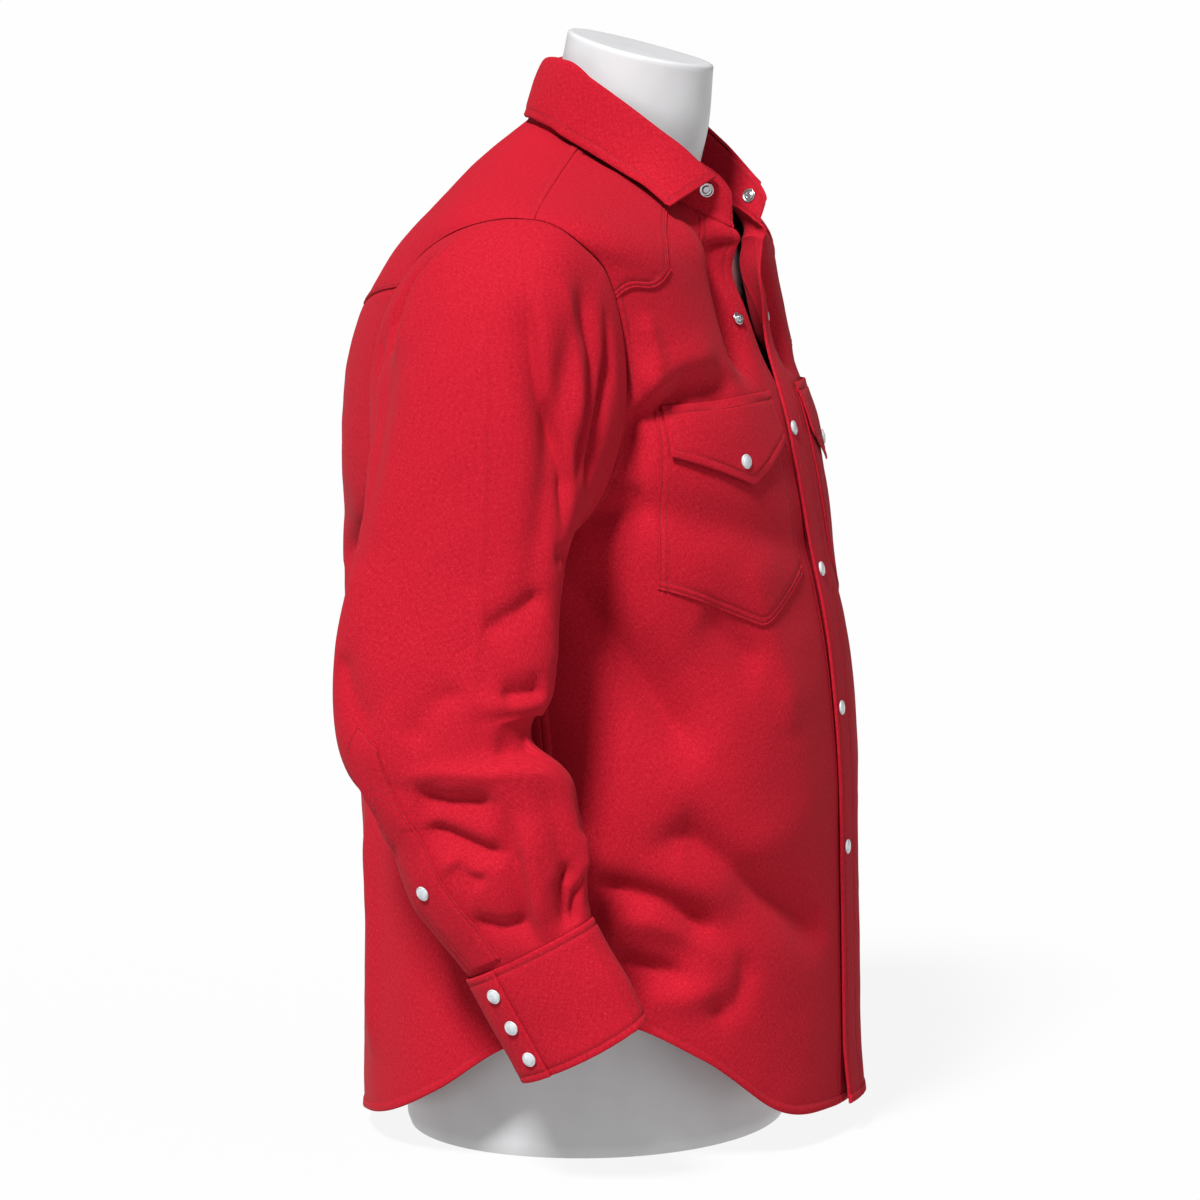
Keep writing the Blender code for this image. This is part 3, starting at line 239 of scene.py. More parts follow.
# columns: path of (degrees, s), half width above the path and below it (on an upright path: toward
# the back and toward the front), height
SLEEVE_CREASES = (
    (((14, 0.27), (26, 0.37), (42, 0.50), (60, 0.57), (74, 0.64), (78, 0.78)), 0.0170, 0.0058, -0.0095),
    (((36, 0.17), (53, 0.27), (67, 0.40), (76, 0.52)), 0.007, 0.007, 0.0032),
    (((50, 0.15), (72, 0.27), (80, 0.38), (84, 0.62)), 0.006, 0.007, -0.0070),
    (((72, 0.10), (85, 0.19), (93, 0.36), (98, 0.56)), 0.005, 0.006, -0.0085),
    (((29, 1.52), (40, 1.27), (68, 0.98)), 0.006, 0.014, -0.0055),
    (((74, 0.88), (88, 0.84), (102, 0.84)), 0.007, 0.009, -0.0045),
    (((44, 2.36), (60, 2.30), (80, 2.20)), 0.011, 0.010, -0.0080),
    (((336, 3.23), (1, 3.39), (27, 3.69), (58, 3.87), (78, 3.95)), 0.006, 0.007, 0.0042),
    (((342, 3.45), (358, 3.72), (25, 3.98)), 0.005, 0.015, -0.0085),
    (((36, 3.52), (55, 3.66), (75, 3.70)), 0.012, 0.005, -0.0055),
    (((349, 3.03), (9, 2.50), (24, 2.28)), 0.010, 0.013, -0.0036),
    (((30, 4.04), (25, 4.86), (19, 6.00)), 0.012, 0.0032, -0.0062),
    (((42, 4.20), (36, 4.90), (29, 6.00)), 0.012, 0.010, 0.0030),
    (((68, 5.08), (52, 5.34), (51, 6.00)), 0.007, 0.006, -0.0065),
    (((88, 5.20), (70, 5.60), (58, 6.00)), 0.006, 0.006, -0.0055),
    (((92, 4.60), (86, 5.10), (74, 5.60)), 0.009, 0.009, 0.0045),
    (((334, 3.90), (345, 4.03), (10, 4.45), (21, 4.58)), 0.0055, 0.014, -0.0080),
    (((345, 4.52), (3, 4.90)), 0.006, 0.010, -0.0045),
    (((344, 5.34), (0, 5.58), (21, 5.70)), 0.006, 0.009, -0.0050),
    (((340, 4.38), (350, 4.62), (8, 4.76)), 0.008, 0.008, 0.0026),
    (((322, 0.08), (305, 0.12), (290, 0.18), (282, 0.34)), 0.007, 0.010, -0.0075),
    (((330, 0.05), (312, 0.20), (300, 0.44)), 0.010, 0.012, 0.0045),
    (((276, 0.10), (268, 0.32), (268, 0.62)), 0.010, 0.010, -0.0065),
    (((296, 2.00), (318, 2.60), (332, 2.86)), 0.018, 0.012, -0.0045),
    (((250, 3.00), (270, 3.26), (300, 3.40)), 0.009, 0.014, -0.0080),
    (((240, 3.60), (258, 3.90), (272, 4.10)), 0.008, 0.013, -0.0070),
    (((180, 0.50), (190, 0.72), (215, 0.90)), 0.011, 0.014, -0.0090),
    (((200, 2.40), (180, 2.70), (150, 2.90)), 0.011, 0.016, -0.0075),
    (((150, 3.40), (170, 3.55), (195, 3.60)), 0.009, 0.014, -0.0085),
    (((160, 4.20), (150, 5.00), (146, 6.00)), 0.010, 0.010, -0.0065),
    (((210, 4.60), (206, 5.30), (204, 6.00)), 0.008, 0.008, -0.0065),
    (((353, 0.30), (12, 0.68), (20, 0.90), (27, 1.46), (27, 2.60), (26, 3.60)), 0.0019, 0.0019, 0.0015),
)
# columns: degrees s half_degrees half_s height
SLEEVE_DENTS = (
    (94, 3.62, 38, 0.30, -0.0065),
    (92, 1.75, 40, 0.60, 0.0050),
    (88, 4.30, 34, 0.50, 0.0050),
)

# ---- seams ----
STITCH_LENGTH = 0.0021
STITCH_PITCH = 0.0030
STITCH_WIDTH = 0.00050
GROOVE = 0.00075
GROOVE_WIDTH = 0.0010
FELL = 0.0011  # rise of the folded allowance along a seam
FELL_SLOPE = 0.0016  # over how much cloth the rise runs out
TOPSTITCH = 0.0058  # from a seam to its row of stitches
HEM_STITCH = 0.0070
EDGE_STITCH = 0.0022


# ---- shared mathematics ----
def between(rows, at):
    rows = np.asarray(rows, float)
    at = np.clip(np.asarray(at, float), 0, len(rows) - 1)
    low = np.minimum(at.astype(int), len(rows) - 2)
    part = (at - low)[..., None]
    padded = np.vstack([2 * rows[:1] - rows[1:2], rows, 2 * rows[-1:] - rows[-2:-1]])
    a, b, c, d = (padded[low + k] for k in range(4))
    curve = (2 * a - 5 * b + 4 * c - d) * part**2 + (3 * b - a - 3 * c + d) * part**3
    return 0.5 * (2 * b + (c - a) * part + curve)


def by_key(rows, key, column=1):
    rows = np.asarray(rows, float)
    step = rows[2, 0] - rows[1, 0]
    place = 1 + (np.asarray(key, float) - rows[1, 0]) / step
    return between(rows, place)[..., column]


def power(value, exponent):
    return np.sign(value) * np.abs(value) ** exponent


def unit(vectors):
    return vectors / np.maximum(np.linalg.norm(vectors, axis=-1, keepdims=True), 1e-12)


def smooth(value):
    value = np.clip(value, 0, 1)
    return value * value * (3 - 2 * value)


def mirrored(points, side):
    return points * np.array([-side, 1.0, 1.0])


def line_distance(x, y, path):
    """Signed distance to a path of points, and the share of its length at the nearest place."""
    path = np.asarray(path, float)
    spans = np.diff(path, axis=0)
    lengths = np.linalg.norm(spans, axis=1)
    total = lengths.sum()
    best = np.full(np.shape(x), 1e9)
    signed = np.zeros(np.shape(x))
    share = np.zeros(np.shape(x))
    run = 0.0
    for start, span, length in zip(path[:-1], spans, lengths):
        dx, dy = x - start[0], y - start[1]
        t = np.clip((dx * span[0] + dy * span[1]) / length**2, 0, 1)
        gap = np.hypot(dx - t * span[0], dy - t * span[1])
        side = np.sign(span[0] * dy - span[1] * dx)
        nearer = gap < best
        best = np.where(nearer, gap, best)
        signed = np.where(nearer, side * gap, signed)
        share = np.where(nearer, (run + t * length) / total, share)
        run += length
    return signed, share


CREASE_GAIN = 1.2
CREASE_POWER = 1.5  # under 2 makes the bottom of a fold sharper than a bell's


UPRIGHT = 1.5  # a path this much steeper than its run counts as upright


def crease(x, y, path, low_width, high_width, height, fade=0.30):
    """A fold along a path; its high side is toward larger y, or larger x where the path is upright."""
    gap, share = line_distance(x, y, path)
    run, rise = path[-1][0] - path[0][0], path[-1][1] - path[0][1]
    leftward = run < 0 if abs(run) * UPRIGHT >= abs(rise) else rise > 0
    gap = -gap if leftward else gap
    width = np.where(gap < 0, low_width, high_width)
    ends = smooth(share / fade + 0.25) * smooth((1 - share) / fade + 0.25)
    return height * np.exp(-(np.abs(gap / width) ** CREASE_POWER)) * ends


def wavy(points, reach, seed, count=14):
    """Small uneven waves of about `reach` metres, between -1 and 1."""
    rng = np.random.default_rng(seed)
    total = np.zeros(points.shape[:-1])
    for _ in range(count):
        direction = rng.normal(size=3)
        direction = direction / np.linalg.norm(direction) * 2 * math.pi / (reach * rng.uniform(0.7, 1.6))
        total = total + np.sin(points @ direction + rng.uniform(0, 2 * math.pi))
    return total / count * 2


# ---- torso surface ----
def torso(rows, angle, v):
    angle, v = np.broadcast_arrays(np.asarray(angle, float), np.asarray(v, float))
    columns = np.moveaxis(between(rows, v), -1, 0)
    z_front, z_side, z_back, half_width, front, back, centre_y, square, tilt = columns
    facing = np.cos(angle) > 0
    reach = np.where(facing, front, back)
    z_end = np.where(facing, z_front, z_back)
    x = -half_width * power(np.sin(angle), 2 / square)
    y = centre_y - reach * power(np.cos(angle), 2 / square)
    end_tilt = np.where(facing, -front, back) * tilt
    z = z_side + tilt * (y - centre_y) + (z_end - z_side - end_tilt) * np.cos(angle) ** 2
    return np.stack([x, y, z], -1)


def normals(surface, angle, v):
    step = 1e-3
    along = surface(angle + step, v) - surface(angle - step, v)
    up = surface(angle, v + step) - surface(angle, v - step)
    return unit(np.cross(up, along))


def plain_body(angle, v):
    return torso(BODY_ROWS, angle, v)


def relief(side, angle, v):
    total = np.zeros(np.broadcast(angle, v).shape)
    for fold_side, degrees, row, half_degrees, half_v, slant, height in BODY_FOLDS:
        if fold_side == side:
            across = (np.degrees(angle) - degrees) / half_degrees
            along = (v - row - slant * across) / half_v
            total = total + height * np.exp(-(across**2) - along**2)
    plain = plain_body(angle, v)
    own_x = -plain[..., 0]
    open_part = smooth((v - 6.4) / 1.0) * smooth((V_NECK - v) / 0.8) * (np.cos(angle) > 0)
    total = total - ROLL_DEPTH * np.exp(-(((own_x - ROLL_PLACE) / ROLL_WIDTH) ** 2)) * open_part
    reach = np.exp(-(np.maximum(own_x - LOOSE_EDGE_X, 0) / LOOSE_EDGE_WIDTH) ** 2)
    reach = reach * smooth((v - 7.0) / 1.2) * smooth((V_NECK + 0.6 - v) / 1.6) * (np.cos(angle) > 0)
    total = total + (LEFT_EDGE_FLARE if side > 0 else RIGHT_EDGE_FLARE) * reach
    # the fine folds fade out before the placket and the neck
    calm = smooth((own_x - 0.020) / 0.040) * (np.cos(angle) > 0) + (np.cos(angle) <= 0)
    fine = np.zeros(total.shape)
    for fold_side, path, low_width, high_width, height in BODY_CREASES:
        if fold_side == side:
            metres = [(math.radians(a) * ROUND, z) for a, z in path]
            fold = crease(angle * ROUND, plain[..., 2], metres, low_width, high_width, height)
            fine = fine + CREASE_GAIN * fold
    fine = fine + 0.0007 * wavy(plain * np.array([1, 1, 0.7]), 0.075, 11 + side)
    fine = fine + 0.0003 * wavy(plain, 0.028, 21 + side)
    return total + fine * calm * smooth((V_NECK - v) / 1.2)


def body(angle, v, side, out=0.0):
    lift = relief(side, angle, v) + out
    return plain_body(angle, v) + normals(plain_body, angle, v) * np.asarray(lift)[..., None]


def edge_angle(v, side):
    own_side = between(EDGE_ROWS, v)[..., 0 if side < 0 else 1]
    row = between(BODY_ROWS, v)
    return np.arcsin(power(own_side / row[..., 3], row[..., 7] / 2))


def side_angle(v, back=False):
    v = np.asarray(v, float)
    seam = 90 - SIDE_SEAM_DRIFT * np.clip(1 - v / V_UNDERARM, 0, 1)
    bow = np.sqrt(np.clip(1 - ((v - V_ARMHOLE_MIDDLE) / 2) ** 2, 0, 1))
    return np.radians(seam + (ARMHOLE_BACK_SWING if back else -ARMHOLE_FRONT_SWING) * bow)


def placket_seam_angle(v, side):
    start = edge_angle(v, side)
    reach = np.linspace(0, 0.9, 60)
    angles = start[..., None] + reach
    points = plain_body(angles, np.broadcast_to(v[..., None], angles.shape))
    steps = np.linalg.norm(np.diff(points, axis=-2), axis=-1)
    lengths = np.concatenate([np.zeros(start.shape + (1,)), np.cumsum(steps, -1)], -1)
    found = [np.interp(PLACKET_WIDTH, length, reach) for length in lengths]
    return start + np.array(found)


def hem_v(angle):
    return by_key(HEM_ROWS, np.degrees(np.abs(angle))) / 0.100


def lap_lift(x_own, z, side):
    if side < 0:
        return 0.0 * z
    near = smooth((0.075 - x_own) / 0.050)
    closed = smooth((0.640 - z) / 0.080)
    parting = HEM_PARTING * smooth((0.080 - z) / 0.080)
    return near * (LAP_LIFT * closed + parting)


def front_v(x, z):
    v = np.linspace(0, 9, 361)
    row = between(BODY_ROWS, v)
    found = []
    for own_x, height in zip(np.ravel(x), np.ravel(z)):
        angle = np.arcsin(np.clip(power(own_x / row[:, 3], row[:, 7] / 2), -1, 1))
        at = np.interp(height, plain_body(angle, v)[:, 2], v)
        here = between(BODY_ROWS, at)
        found.append((np.arcsin(np.clip(power(own_x / here[3], here[7] / 2), -1, 1)), at))
    found = np.array(found).reshape(np.shape(x) + (2,))
    return found[..., 0], found[..., 1]


# ---- grids ----
def spread(lengths, first, last, count):
    """Distances across each row: exact ones near its two ends and an even run between them."""
    lengths = np.asarray(lengths, float)[:, None]
    first, last = np.asarray(first, float), np.asarray(last, float)
    start = first[-1] if len(first) else 0.0
    end = lengths - (last[-1] if len(last) else 0.0)
    middle = start + (end - start) * np.linspace(0, 1, count + 2)[None, 1:-1]
    columns = [np.broadcast_to(first, (len(lengths), len(first))), middle]
    columns.append(lengths - last[::-1][None])
    return np.concatenate(columns, 1)


def detail(*stitches):
    """Distances from a border that catch its rounded edge and its rows of stitches."""
    places = [0.0, 0.0004, 0.0010]
    for at in stitches:
        places += [at - 0.0011, at - 0.0005, at, at + 0.0005, at + 0.0011]
    return sorted(place for place in places if place >= 0)


def cumulative(points, axis):
    steps = np.linalg.norm(np.diff(points, axis=axis), axis=-1)
    zero = np.zeros_like(np.take(steps, [0], axis))
    return np.concatenate([zero, np.cumsum(steps, axis)], axis)


def groove(distance, at):
    return -GROOVE * np.exp(-(((distance - at) / GROOVE_WIDTH) ** 2))


def border_relief(distance, stitches, fell=0.0, width=0.0):
    """What a seam does to the cloth beside it: rows of stitches pull in, and the allowance lifts it."""
    total = sum((groove(distance, at) for at in stitches), np.zeros_like(distance))
    if fell:
        total = total + fell * smooth((width - distance) / FELL_SLOPE)
    return total


def rounded(distance, thickness):
    """The thickness of a folded edge at a distance from it."""
    part = np.clip(distance / (thickness * 0.7), 0, 1)
    return thickness * (0.25 + 0.75 * np.sqrt(1 - (1 - part) ** 2))


def new_mesh(name, points, faces, material):
    mesh = bpy.data.meshes.new(name)
    mesh.from_pydata(points, [], faces)
    mesh.materials.append(material)
    mesh.update()
    return mesh


def shade(mesh, sharp_degrees):
    mesh.shade_smooth()
    mesh.set_sharp_from_angle(angle=math.radians(sharp_degrees))


def placed(name, data):
    thing = bpy.data.objects.new(name, data)
    bpy.context.scene.collection.objects.link(thing)
    return thing


def stands_for(thing, node):
    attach(thing, "root")
    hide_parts(node)


def make_mesh(name, inner, outer, material, tube=False):
    """A closed wall between two grids of points, with its cloth's own UV in metres."""
    rows, columns = outer.shape[:2]
    spans = columns if tube else columns - 1
    r, c = np.meshgrid(np.arange(rows - 1), np.arange(spans), indexing="ij")
    nxt = (c + 1) % columns
    a, b, d, e = r * columns + c, r * columns + nxt, (r + 1) * columns + nxt, (r + 1) * columns + c
    skin = rows * columns
    outer_faces = np.stack([a, b, d, e], -1).reshape(-1, 4)
    inner_faces = np.stack([a, e, d, b], -1).reshape(-1, 4) + skin
    k = np.arange(spans)
    k2 = (k + 1) % columns
    base = (rows - 1) * columns
    borders = [
        np.stack([k2, k, k + skin, k2 + skin], -1),
        np.stack([base + k, base + k2, base + k2 + skin, base + k + skin], -1),
    ]
    if not tube:
        j = np.arange(rows - 1) * columns
        j2 = j + columns
        end = columns - 1
        borders.append(np.stack([j, j2, j2 + skin, j + skin], -1))
        borders.append(np.stack([j2 + end, j + end, j + end + skin, j2 + end + skin], -1))
    faces = np.concatenate([outer_faces, inner_faces, *borders])
    points = np.concatenate([outer.reshape(-1, 3), inner.reshape(-1, 3)])
    mesh = new_mesh(name, points.tolist(), faces.tolist(), material)
    along = cumulative(outer, 1)
    up = cumulative(outer, 0)
    if tube:
        closing = np.linalg.norm(outer[:, 0] - outer[:, -1], axis=-1)
        along = np.concatenate([along, (along[:, -1] + closing)[:, None]], 1)
        up = np.concatenate([up, up[:, :1]], 1)
    along = along - along.mean(1, keepdims=True) + along.mean()
    layer = mesh.uv_layers.new(name="Cloth")
    flat = np.zeros((len(faces) * 4, 2))
    grid = np.stack([along, up], -1)
    corners = [grid[r, c], grid[r, c + 1], grid[r + 1, c + 1], grid[r + 1, c]]
    outer_uv = np.stack(corners, -2).reshape(-1, 4, 2)
    inner_uv = outer_uv[:, [0, 3, 2, 1]]
    count = len(outer_uv)
    flat[: count * 4] = outer_uv.reshape(-1, 2)
    flat[count * 4: count * 8] = inner_uv.reshape(-1, 2)
    edge_points = points[faces[count * 2:].reshape(-1)]
    flat[count * 8:] = edge_points[:, [0, 2]]
    layer.data.foreach_set("uv", flat.astype(np.float32).reshape(-1))
    face = mesh.polygons[rows // 2 * spans + spans // 2]
    outward = Vector(outer[rows // 2, spans // 2] - inner[rows // 2, spans // 2])
    if face.normal.dot(outward) < 0:
        mesh.flip_normals()
    shade(mesh, 65)
    return placed(name, mesh)


def area_of(grid):
    side_a = grid[1:, 1:] - grid[:-1, :-1]
    side_b = grid[1:, :-1] - grid[:-1, 1:]
    return float(np.linalg.norm(np.cross(side_a, side_b), axis=-1).sum() / 2)


STITCHES = []
PIECES = {}


def note_stitches(points, facing, pitch=STITCH_PITCH):
    """Remembers a row of stitches that runs along points, on the side that `facing` gives."""
    lengths = np.concatenate([[0], np.cumsum(np.linalg.norm(np.diff(points, axis=0), axis=1))])
    count = int(lengths[-1] / pitch)
    if count < 1:
        return
    middles = (np.arange(count) + 0.5) * lengths[-1] / count

    def at(where):
        return np.stack([np.interp(where, lengths, points[:, k]) for k in range(3)], -1)

    up = unit(np.stack([np.interp(middles, lengths, facing[:, k]) for k in range(3)], -1))
    STITCHES.append((at(middles - STITCH_LENGTH / 2), at(middles + STITCH_LENGTH / 2), up))


def grid_normals(grid, outward):
    rows = np.gradient(grid, axis=0)
    columns = np.gradient(grid, axis=1)
    found = unit(np.cross(columns, rows))
    flip = np.sign((found * outward).sum(-1, keepdims=True))
    return found * np.where(flip == 0, 1, flip)


def stitch_columns(outer, distance, places, outward):
    """Stitches that run up a grid, at given distances across it."""
    facing = grid_normals(outer, outward)
    for place in places:
        line, up = [], []
        for row in range(len(outer)):
            if distance[row, 0] <= place <= distance[row, -1]:
                line.append([np.interp(place, distance[row], outer[row, :, k]) for k in range(3)])
                up.append([np.interp(place, distance[row], facing[row, :, k]) for k in range(3)])
        if len(line) > 2:
            note_stitches(np.array(line), np.array(up))


def stitch_rows(outer, distance, places, outward):
    stitch_columns(outer.transpose(1, 0, 2), distance.T, places, outward.transpose(1, 0, 2))


def dress(name, node, inner, outer, material, flat, held, rests_on, tube=False, area=None):
    piece = make_mesh(name, inner, outer, material, tube)
    stands_for(piece, node)
    PIECES[name] = (piece, flat, held, rests_on, area_of(outer), area)
    return piece


# ---- body panels ----
def dense_rows():
    low = np.linspace(-0.1, V_UNDERARM, 60)
    arm = V_ARMHOLE_MIDDLE - 2 * np.cos(np.linspace(0, math.pi, 90))
    top = np.linspace(V_SHOULDER, V_NECK, 30)
    return np.unique(np.concatenate([low, arm, top]))


class Columns:
    """The angle of each column of a panel and its distances from the panel's two side borders."""

    def __init__(self, start, end, first, last, count):
        self.rows = dense_rows()
        part = np.linspace(0, 1, 70)
        angles = start(self.rows)[:, None] * (1 - part) + end(self.rows)[:, None] * part
        points = plain_body(angles, np.broadcast_to(self.rows[:, None], angles.shape))
        lengths = cumulative(points, 1)
        self.wanted = spread(lengths[:, -1], first, last, count)
        pairs = zip(self.wanted, lengths, angles)
        self.angles = np.stack([np.interp(want, length, angle) for want, length, angle in pairs])
        self.lengths = lengths[:, -1]
        self.count = self.wanted.shape[1]

    def look(self, table, v):
        return np.stack([np.interp(v[:, k], self.rows, table[:, k]) for k in range(self.count)], 1)

    def at(self, v):
        """angle, distance from the first border and distance from the last one."""
        from_first = self.look(self.wanted, v)
        whole = np.interp(v, self.rows, self.lengths)
        return self.look(self.angles, v), from_first, whole - from_first

    def low_rows(self, border, count):
        hem = hem_v(self.at(np.full((1, self.count), 0.6))[0][0])
        near = hem[None] + np.asarray(border)[:, None] / 0.100
        part = np.linspace(0, 1, count + 1)[1:-1, None]
        return np.concatenate([near, near[-1] + (V_UNDERARM - near[-1]) * part])


def arm_rows(first, last, count):
    return V_ARMHOLE_MIDDLE - 2 * np.cos(math.pi * np.linspace(first, last, count) / ARMHOLE_STEPS)


def finish_body_grid(points_at, from_first, from_last, sews, thickness):
    """The two skins of a body panel, with what its seams do near each border."""
    flat = points_at(np.zeros(from_first.shape))
    from_bottom = cumulative(flat, 0)
    from_top = from_bottom[-1:] - from_bottom
    places = {"first": from_first, "last": from_last, "bottom": from_bottom, "top": from_top}
    lift = np.zeros(from_first.shape)
    for border, (stitches, fell, width) in sews.items():
        lift = lift + border_relief(places[border], stitches, fell, width)
    nearest = np.minimum.reduce(list(places.values()))
    outer = points_at(lift + rounded(nearest, thickness))
    inner = points_at(np.minimum(lift, 0))
    return inner, outer, places


HEM = ((HEM_STITCH,), 0.0009, HEM_STITCH + 0.0012)
SEAM = ((TOPSTITCH,), FELL, TOPSTITCH + 0.0012)
PLAIN = ((), 0.0, 0.0)


def sew(outer, places, inner, sews):
    """Stitches along the borders of a piece, each row counted from its own border."""
    for border, (stitches, _, _) in sews.items():
        grids = [outer, places[border], outer - inner]
        if border == "last":
            grids = [grid[:, ::-1] for grid in grids]
        if border == "top":
            grids = [grid[::-1] for grid in grids]
        grid, distance, outward = grids
        lay = stitch_columns if border in ("first", "last") else stitch_rows
        lay(grid, distance, stitches, outward)


def front_rows(columns):
    """The height of each point of a panel of the front, and its angle and distances from both borders."""
    low = columns.low_rows(detail(HEM_STITCH), 84)
    high = np.concatenate([arm_rows(0, ARMHOLE_STEPS, 70), np.linspace(V_SHOULDER, V_NECK, 20)[1:]])
    v = np.concatenate([low, np.repeat(high[:, None], columns.count, 1)])
    return v, *columns.at(v)


def front_piece(side, word, material):
    columns = Columns(lambda v: placket_seam_angle(v, side), side_angle, detail(), detail(TOPSTITCH), 62)
    v, angle, from_first, from_last = front_rows(columns)
    plain = plain_body(angle, v)
    lap = lap_lift(-plain[..., 0], plain[..., 2], side)

    def points_at(out):
        return mirrored(body(angle, v, side, lap + out), side)

    sews = {"bottom": HEM, "last": SEAM, "first": PLAIN, "top": PLAIN}
    inner, outer, places = finish_body_grid(points_at, from_first, from_last, sews, WALL)
    sew(outer, places, inner, sews)
    dress(f"cloth_front_{word}", f"front_{word}", inner, outer, material, (0.33, 0.78), "hung",
          ["form"], area=0.205)


def placket_piece(side, word, material):
    columns = Columns(lambda v: edge_angle(v, side), lambda v: placket_seam_angle(v, side),
                      detail(TOPSTITCH), detail(TOPSTITCH), 8)
    v, angle, from_first, from_last = front_rows(columns)
    plain = plain_body(angle, v)
    lap = lap_lift(-plain[..., 0], plain[..., 2], side) - (0.0003 if side < 0 else 0.0)

    def points_at(out):
        return mirrored(body(angle, v, side, lap + out), side)

    double = ((TOPSTITCH,), 0.0, 0.0)
    sews = {"bottom": HEM, "last": double, "first": double, "top": PLAIN}
    inner, outer, places = finish_body_grid(points_at, from_first, from_last, sews, DOUBLE_WALL)
    sew(outer, places, inner, sews)
    dress(f"cloth_placket_{word}", f"placket_{word}", inner, outer, material, (0.036, 0.74), "hung",
          [f"front_{word}"])


def back_relief(side, angle, v):
    """Both sides' folds, run together near centre back."""
    own, other = relief(side, angle, v), relief(-side, angle, v)
    keep = smooth((math.pi - angle) / 0.30) / 2 + 0.5
    return own * keep + other * (1 - keep)


def back_points(angle, v, out):
    halves = []
    plain = plain_body(angle, v)
    facing = normals(plain_body, angle, v)
    for side in (-1, 1):
        halves.append(mirrored(plain + facing * (back_relief(side, angle, v) + out)[..., None], side))
    right, left = halves
    right[:, -1, 0] = 0
    left[:, -1] = right[:, -1] = (right[:, -1] + left[:, -1]) / 2
    return np.concatenate([right, left[:, -2::-1]], 1)


def both_halves(grid):
    return np.concatenate([grid, grid[:, -2::-1]], 1)


def back_columns():
    def start(v):
        return side_angle(v, True)

    def end(v):
        return np.full(v.shape, math.pi)

    return Columns(start, end, detail(TOPSTITCH), [], 64), start


def sew_back(outer, places, inner, half, bottom):
    """Stitches beside both side seams of a piece across the back, and along its lower edge."""
    for step in (1, -1):
        own = {key: value[:, ::step][:, :half] for key, value in places.items()}
        sew(outer[:, ::step][:, :half], own, inner[:, ::step][:, :half], {"first": SEAM})
    sew(outer, places, inner, {"bottom": bottom})


def back_piece(material):
    columns, start = back_columns()
    low = columns.low_rows(detail(HEM_STITCH), 84)
    arm = arm_rows(0, YOKE_STEP, 54)
    flat = np.concatenate([low, np.repeat(arm[:, None], columns.count, 1)])
    angle, from_side, _ = columns.at(flat)
    part = (angle - start(flat)) / (math.pi - start(flat))
    share = np.clip((flat - V_UNDERARM) / (arm[-1] - V_UNDERARM), 0, 1)
    v = flat - YOKE_DIP * np.clip(part, 0, 1) ** 1.5 * share

    def points_at(out):
        return back_points(angle, v, out[:, : columns.count])

    whole_first = both_halves(from_side)
    sews = {"bottom": HEM, "first": SEAM, "top": PLAIN}
    inner, outer, places = finish_body_grid(points_at, whole_first, whole_first, sews, WALL)
    sew_back(outer, places, inner, columns.count, HEM)
    dress("cloth_back", "back", inner, outer, material, (0.66, 0.68), "hung", ["form"], area=0.36)


def back_yoke_piece(material):
    columns, start = back_columns()
    first = arm_rows(YOKE_STEP, YOKE_STEP + 1, 2)[0]
    near = first + np.array(detail(EDGE_STITCH, TOPSTITCH)[:-1]) / 0.045
    arm = arm_rows(YOKE_STEP, ARMHOLE_STEPS, 40)
    flat = np.concatenate([near, arm[arm > near[-1] + 0.02], np.linspace(V_SHOULDER, V_NECK, 30)[1:]])
    flat = np.repeat(flat[:, None], columns.count, 1)
    angle, from_side, _ = columns.at(flat)
    part = (angle - start(flat)) / (math.pi - start(flat))
    share = (flat - first) / (V_NECK - first)
    v = flat - YOKE_DIP * np.clip(part, 0, 1) ** 1.5 * (1 - share)

    def points_at(out):
        return back_points(angle, v, out[:, : columns.count])

    whole_first = both_halves(from_side)
    low_edge = ((EDGE_STITCH, TOPSTITCH), FELL, TOPSTITCH + 0.0012)
    sews = {"bottom": low_edge, "first": SEAM, "top": PLAIN}
    inner, outer, places = finish_body_grid(points_at, whole_first, whole_first, sews, WALL)
    sew_back(outer, places, inner, columns.count, low_edge)
    dress("cloth_yoke_back", "yoke_back", inner, outer, material, (0.52, 0.17), "hung", ["form"])


# ---- pieces laid on the body ----
# columns: v degrees
YOKE_INNER = ((8.60, 38.0), (9.20, 41.0), (9.80, 47.0), (10.40, 53.0), (10.80, 57.0))
YOKE_BOTTOM_BOW = 0.12
YOKE_BOTTOM_SAG = 0.20
POCKET_TOP = 0.593
POCKET_SIDE_BOTTOM = 0.452
POCKET_TIP = 0.4165
POCKET_INNER = 0.036
POCKET_OUTER_TOP = 0.170
POCKET_OUTER_BOTTOM = 0.182
FLAP_SIDE_BOTTOM = 0.5530
FLAP_TIP = 0.5250
FLAP_OVERHANG = 0.0020
FLAP_TOP_IN = 0.0040  # how much nearer the front the flap's outer corners are than the pocket's side
FLAP_BOTTOM_IN = 0.0072
POCKET_UNDER_FLAP = 0.004
LAID_OFF = 0.0003
FLAP_SWING = 0.0022  # how far the flap's loose edge stands off the pocket


def laid_grid(points_at, shape, sews, thickness):
    """The two skins of a piece whose place is given by points_at(out), with its stitches."""
    from_first = cumulative(points_at(np.zeros(shape)), 1)
    from_last = from_first[:, -1:] - from_first
    inner, outer, places = finish_body_grid(points_at, from_first, from_last, sews, thickness)
    sew(outer, places, inner, sews)
    return inner, outer, places


def shares(length, first, last, count):
    return spread(np.array([length]), first, last, count)[0] / length


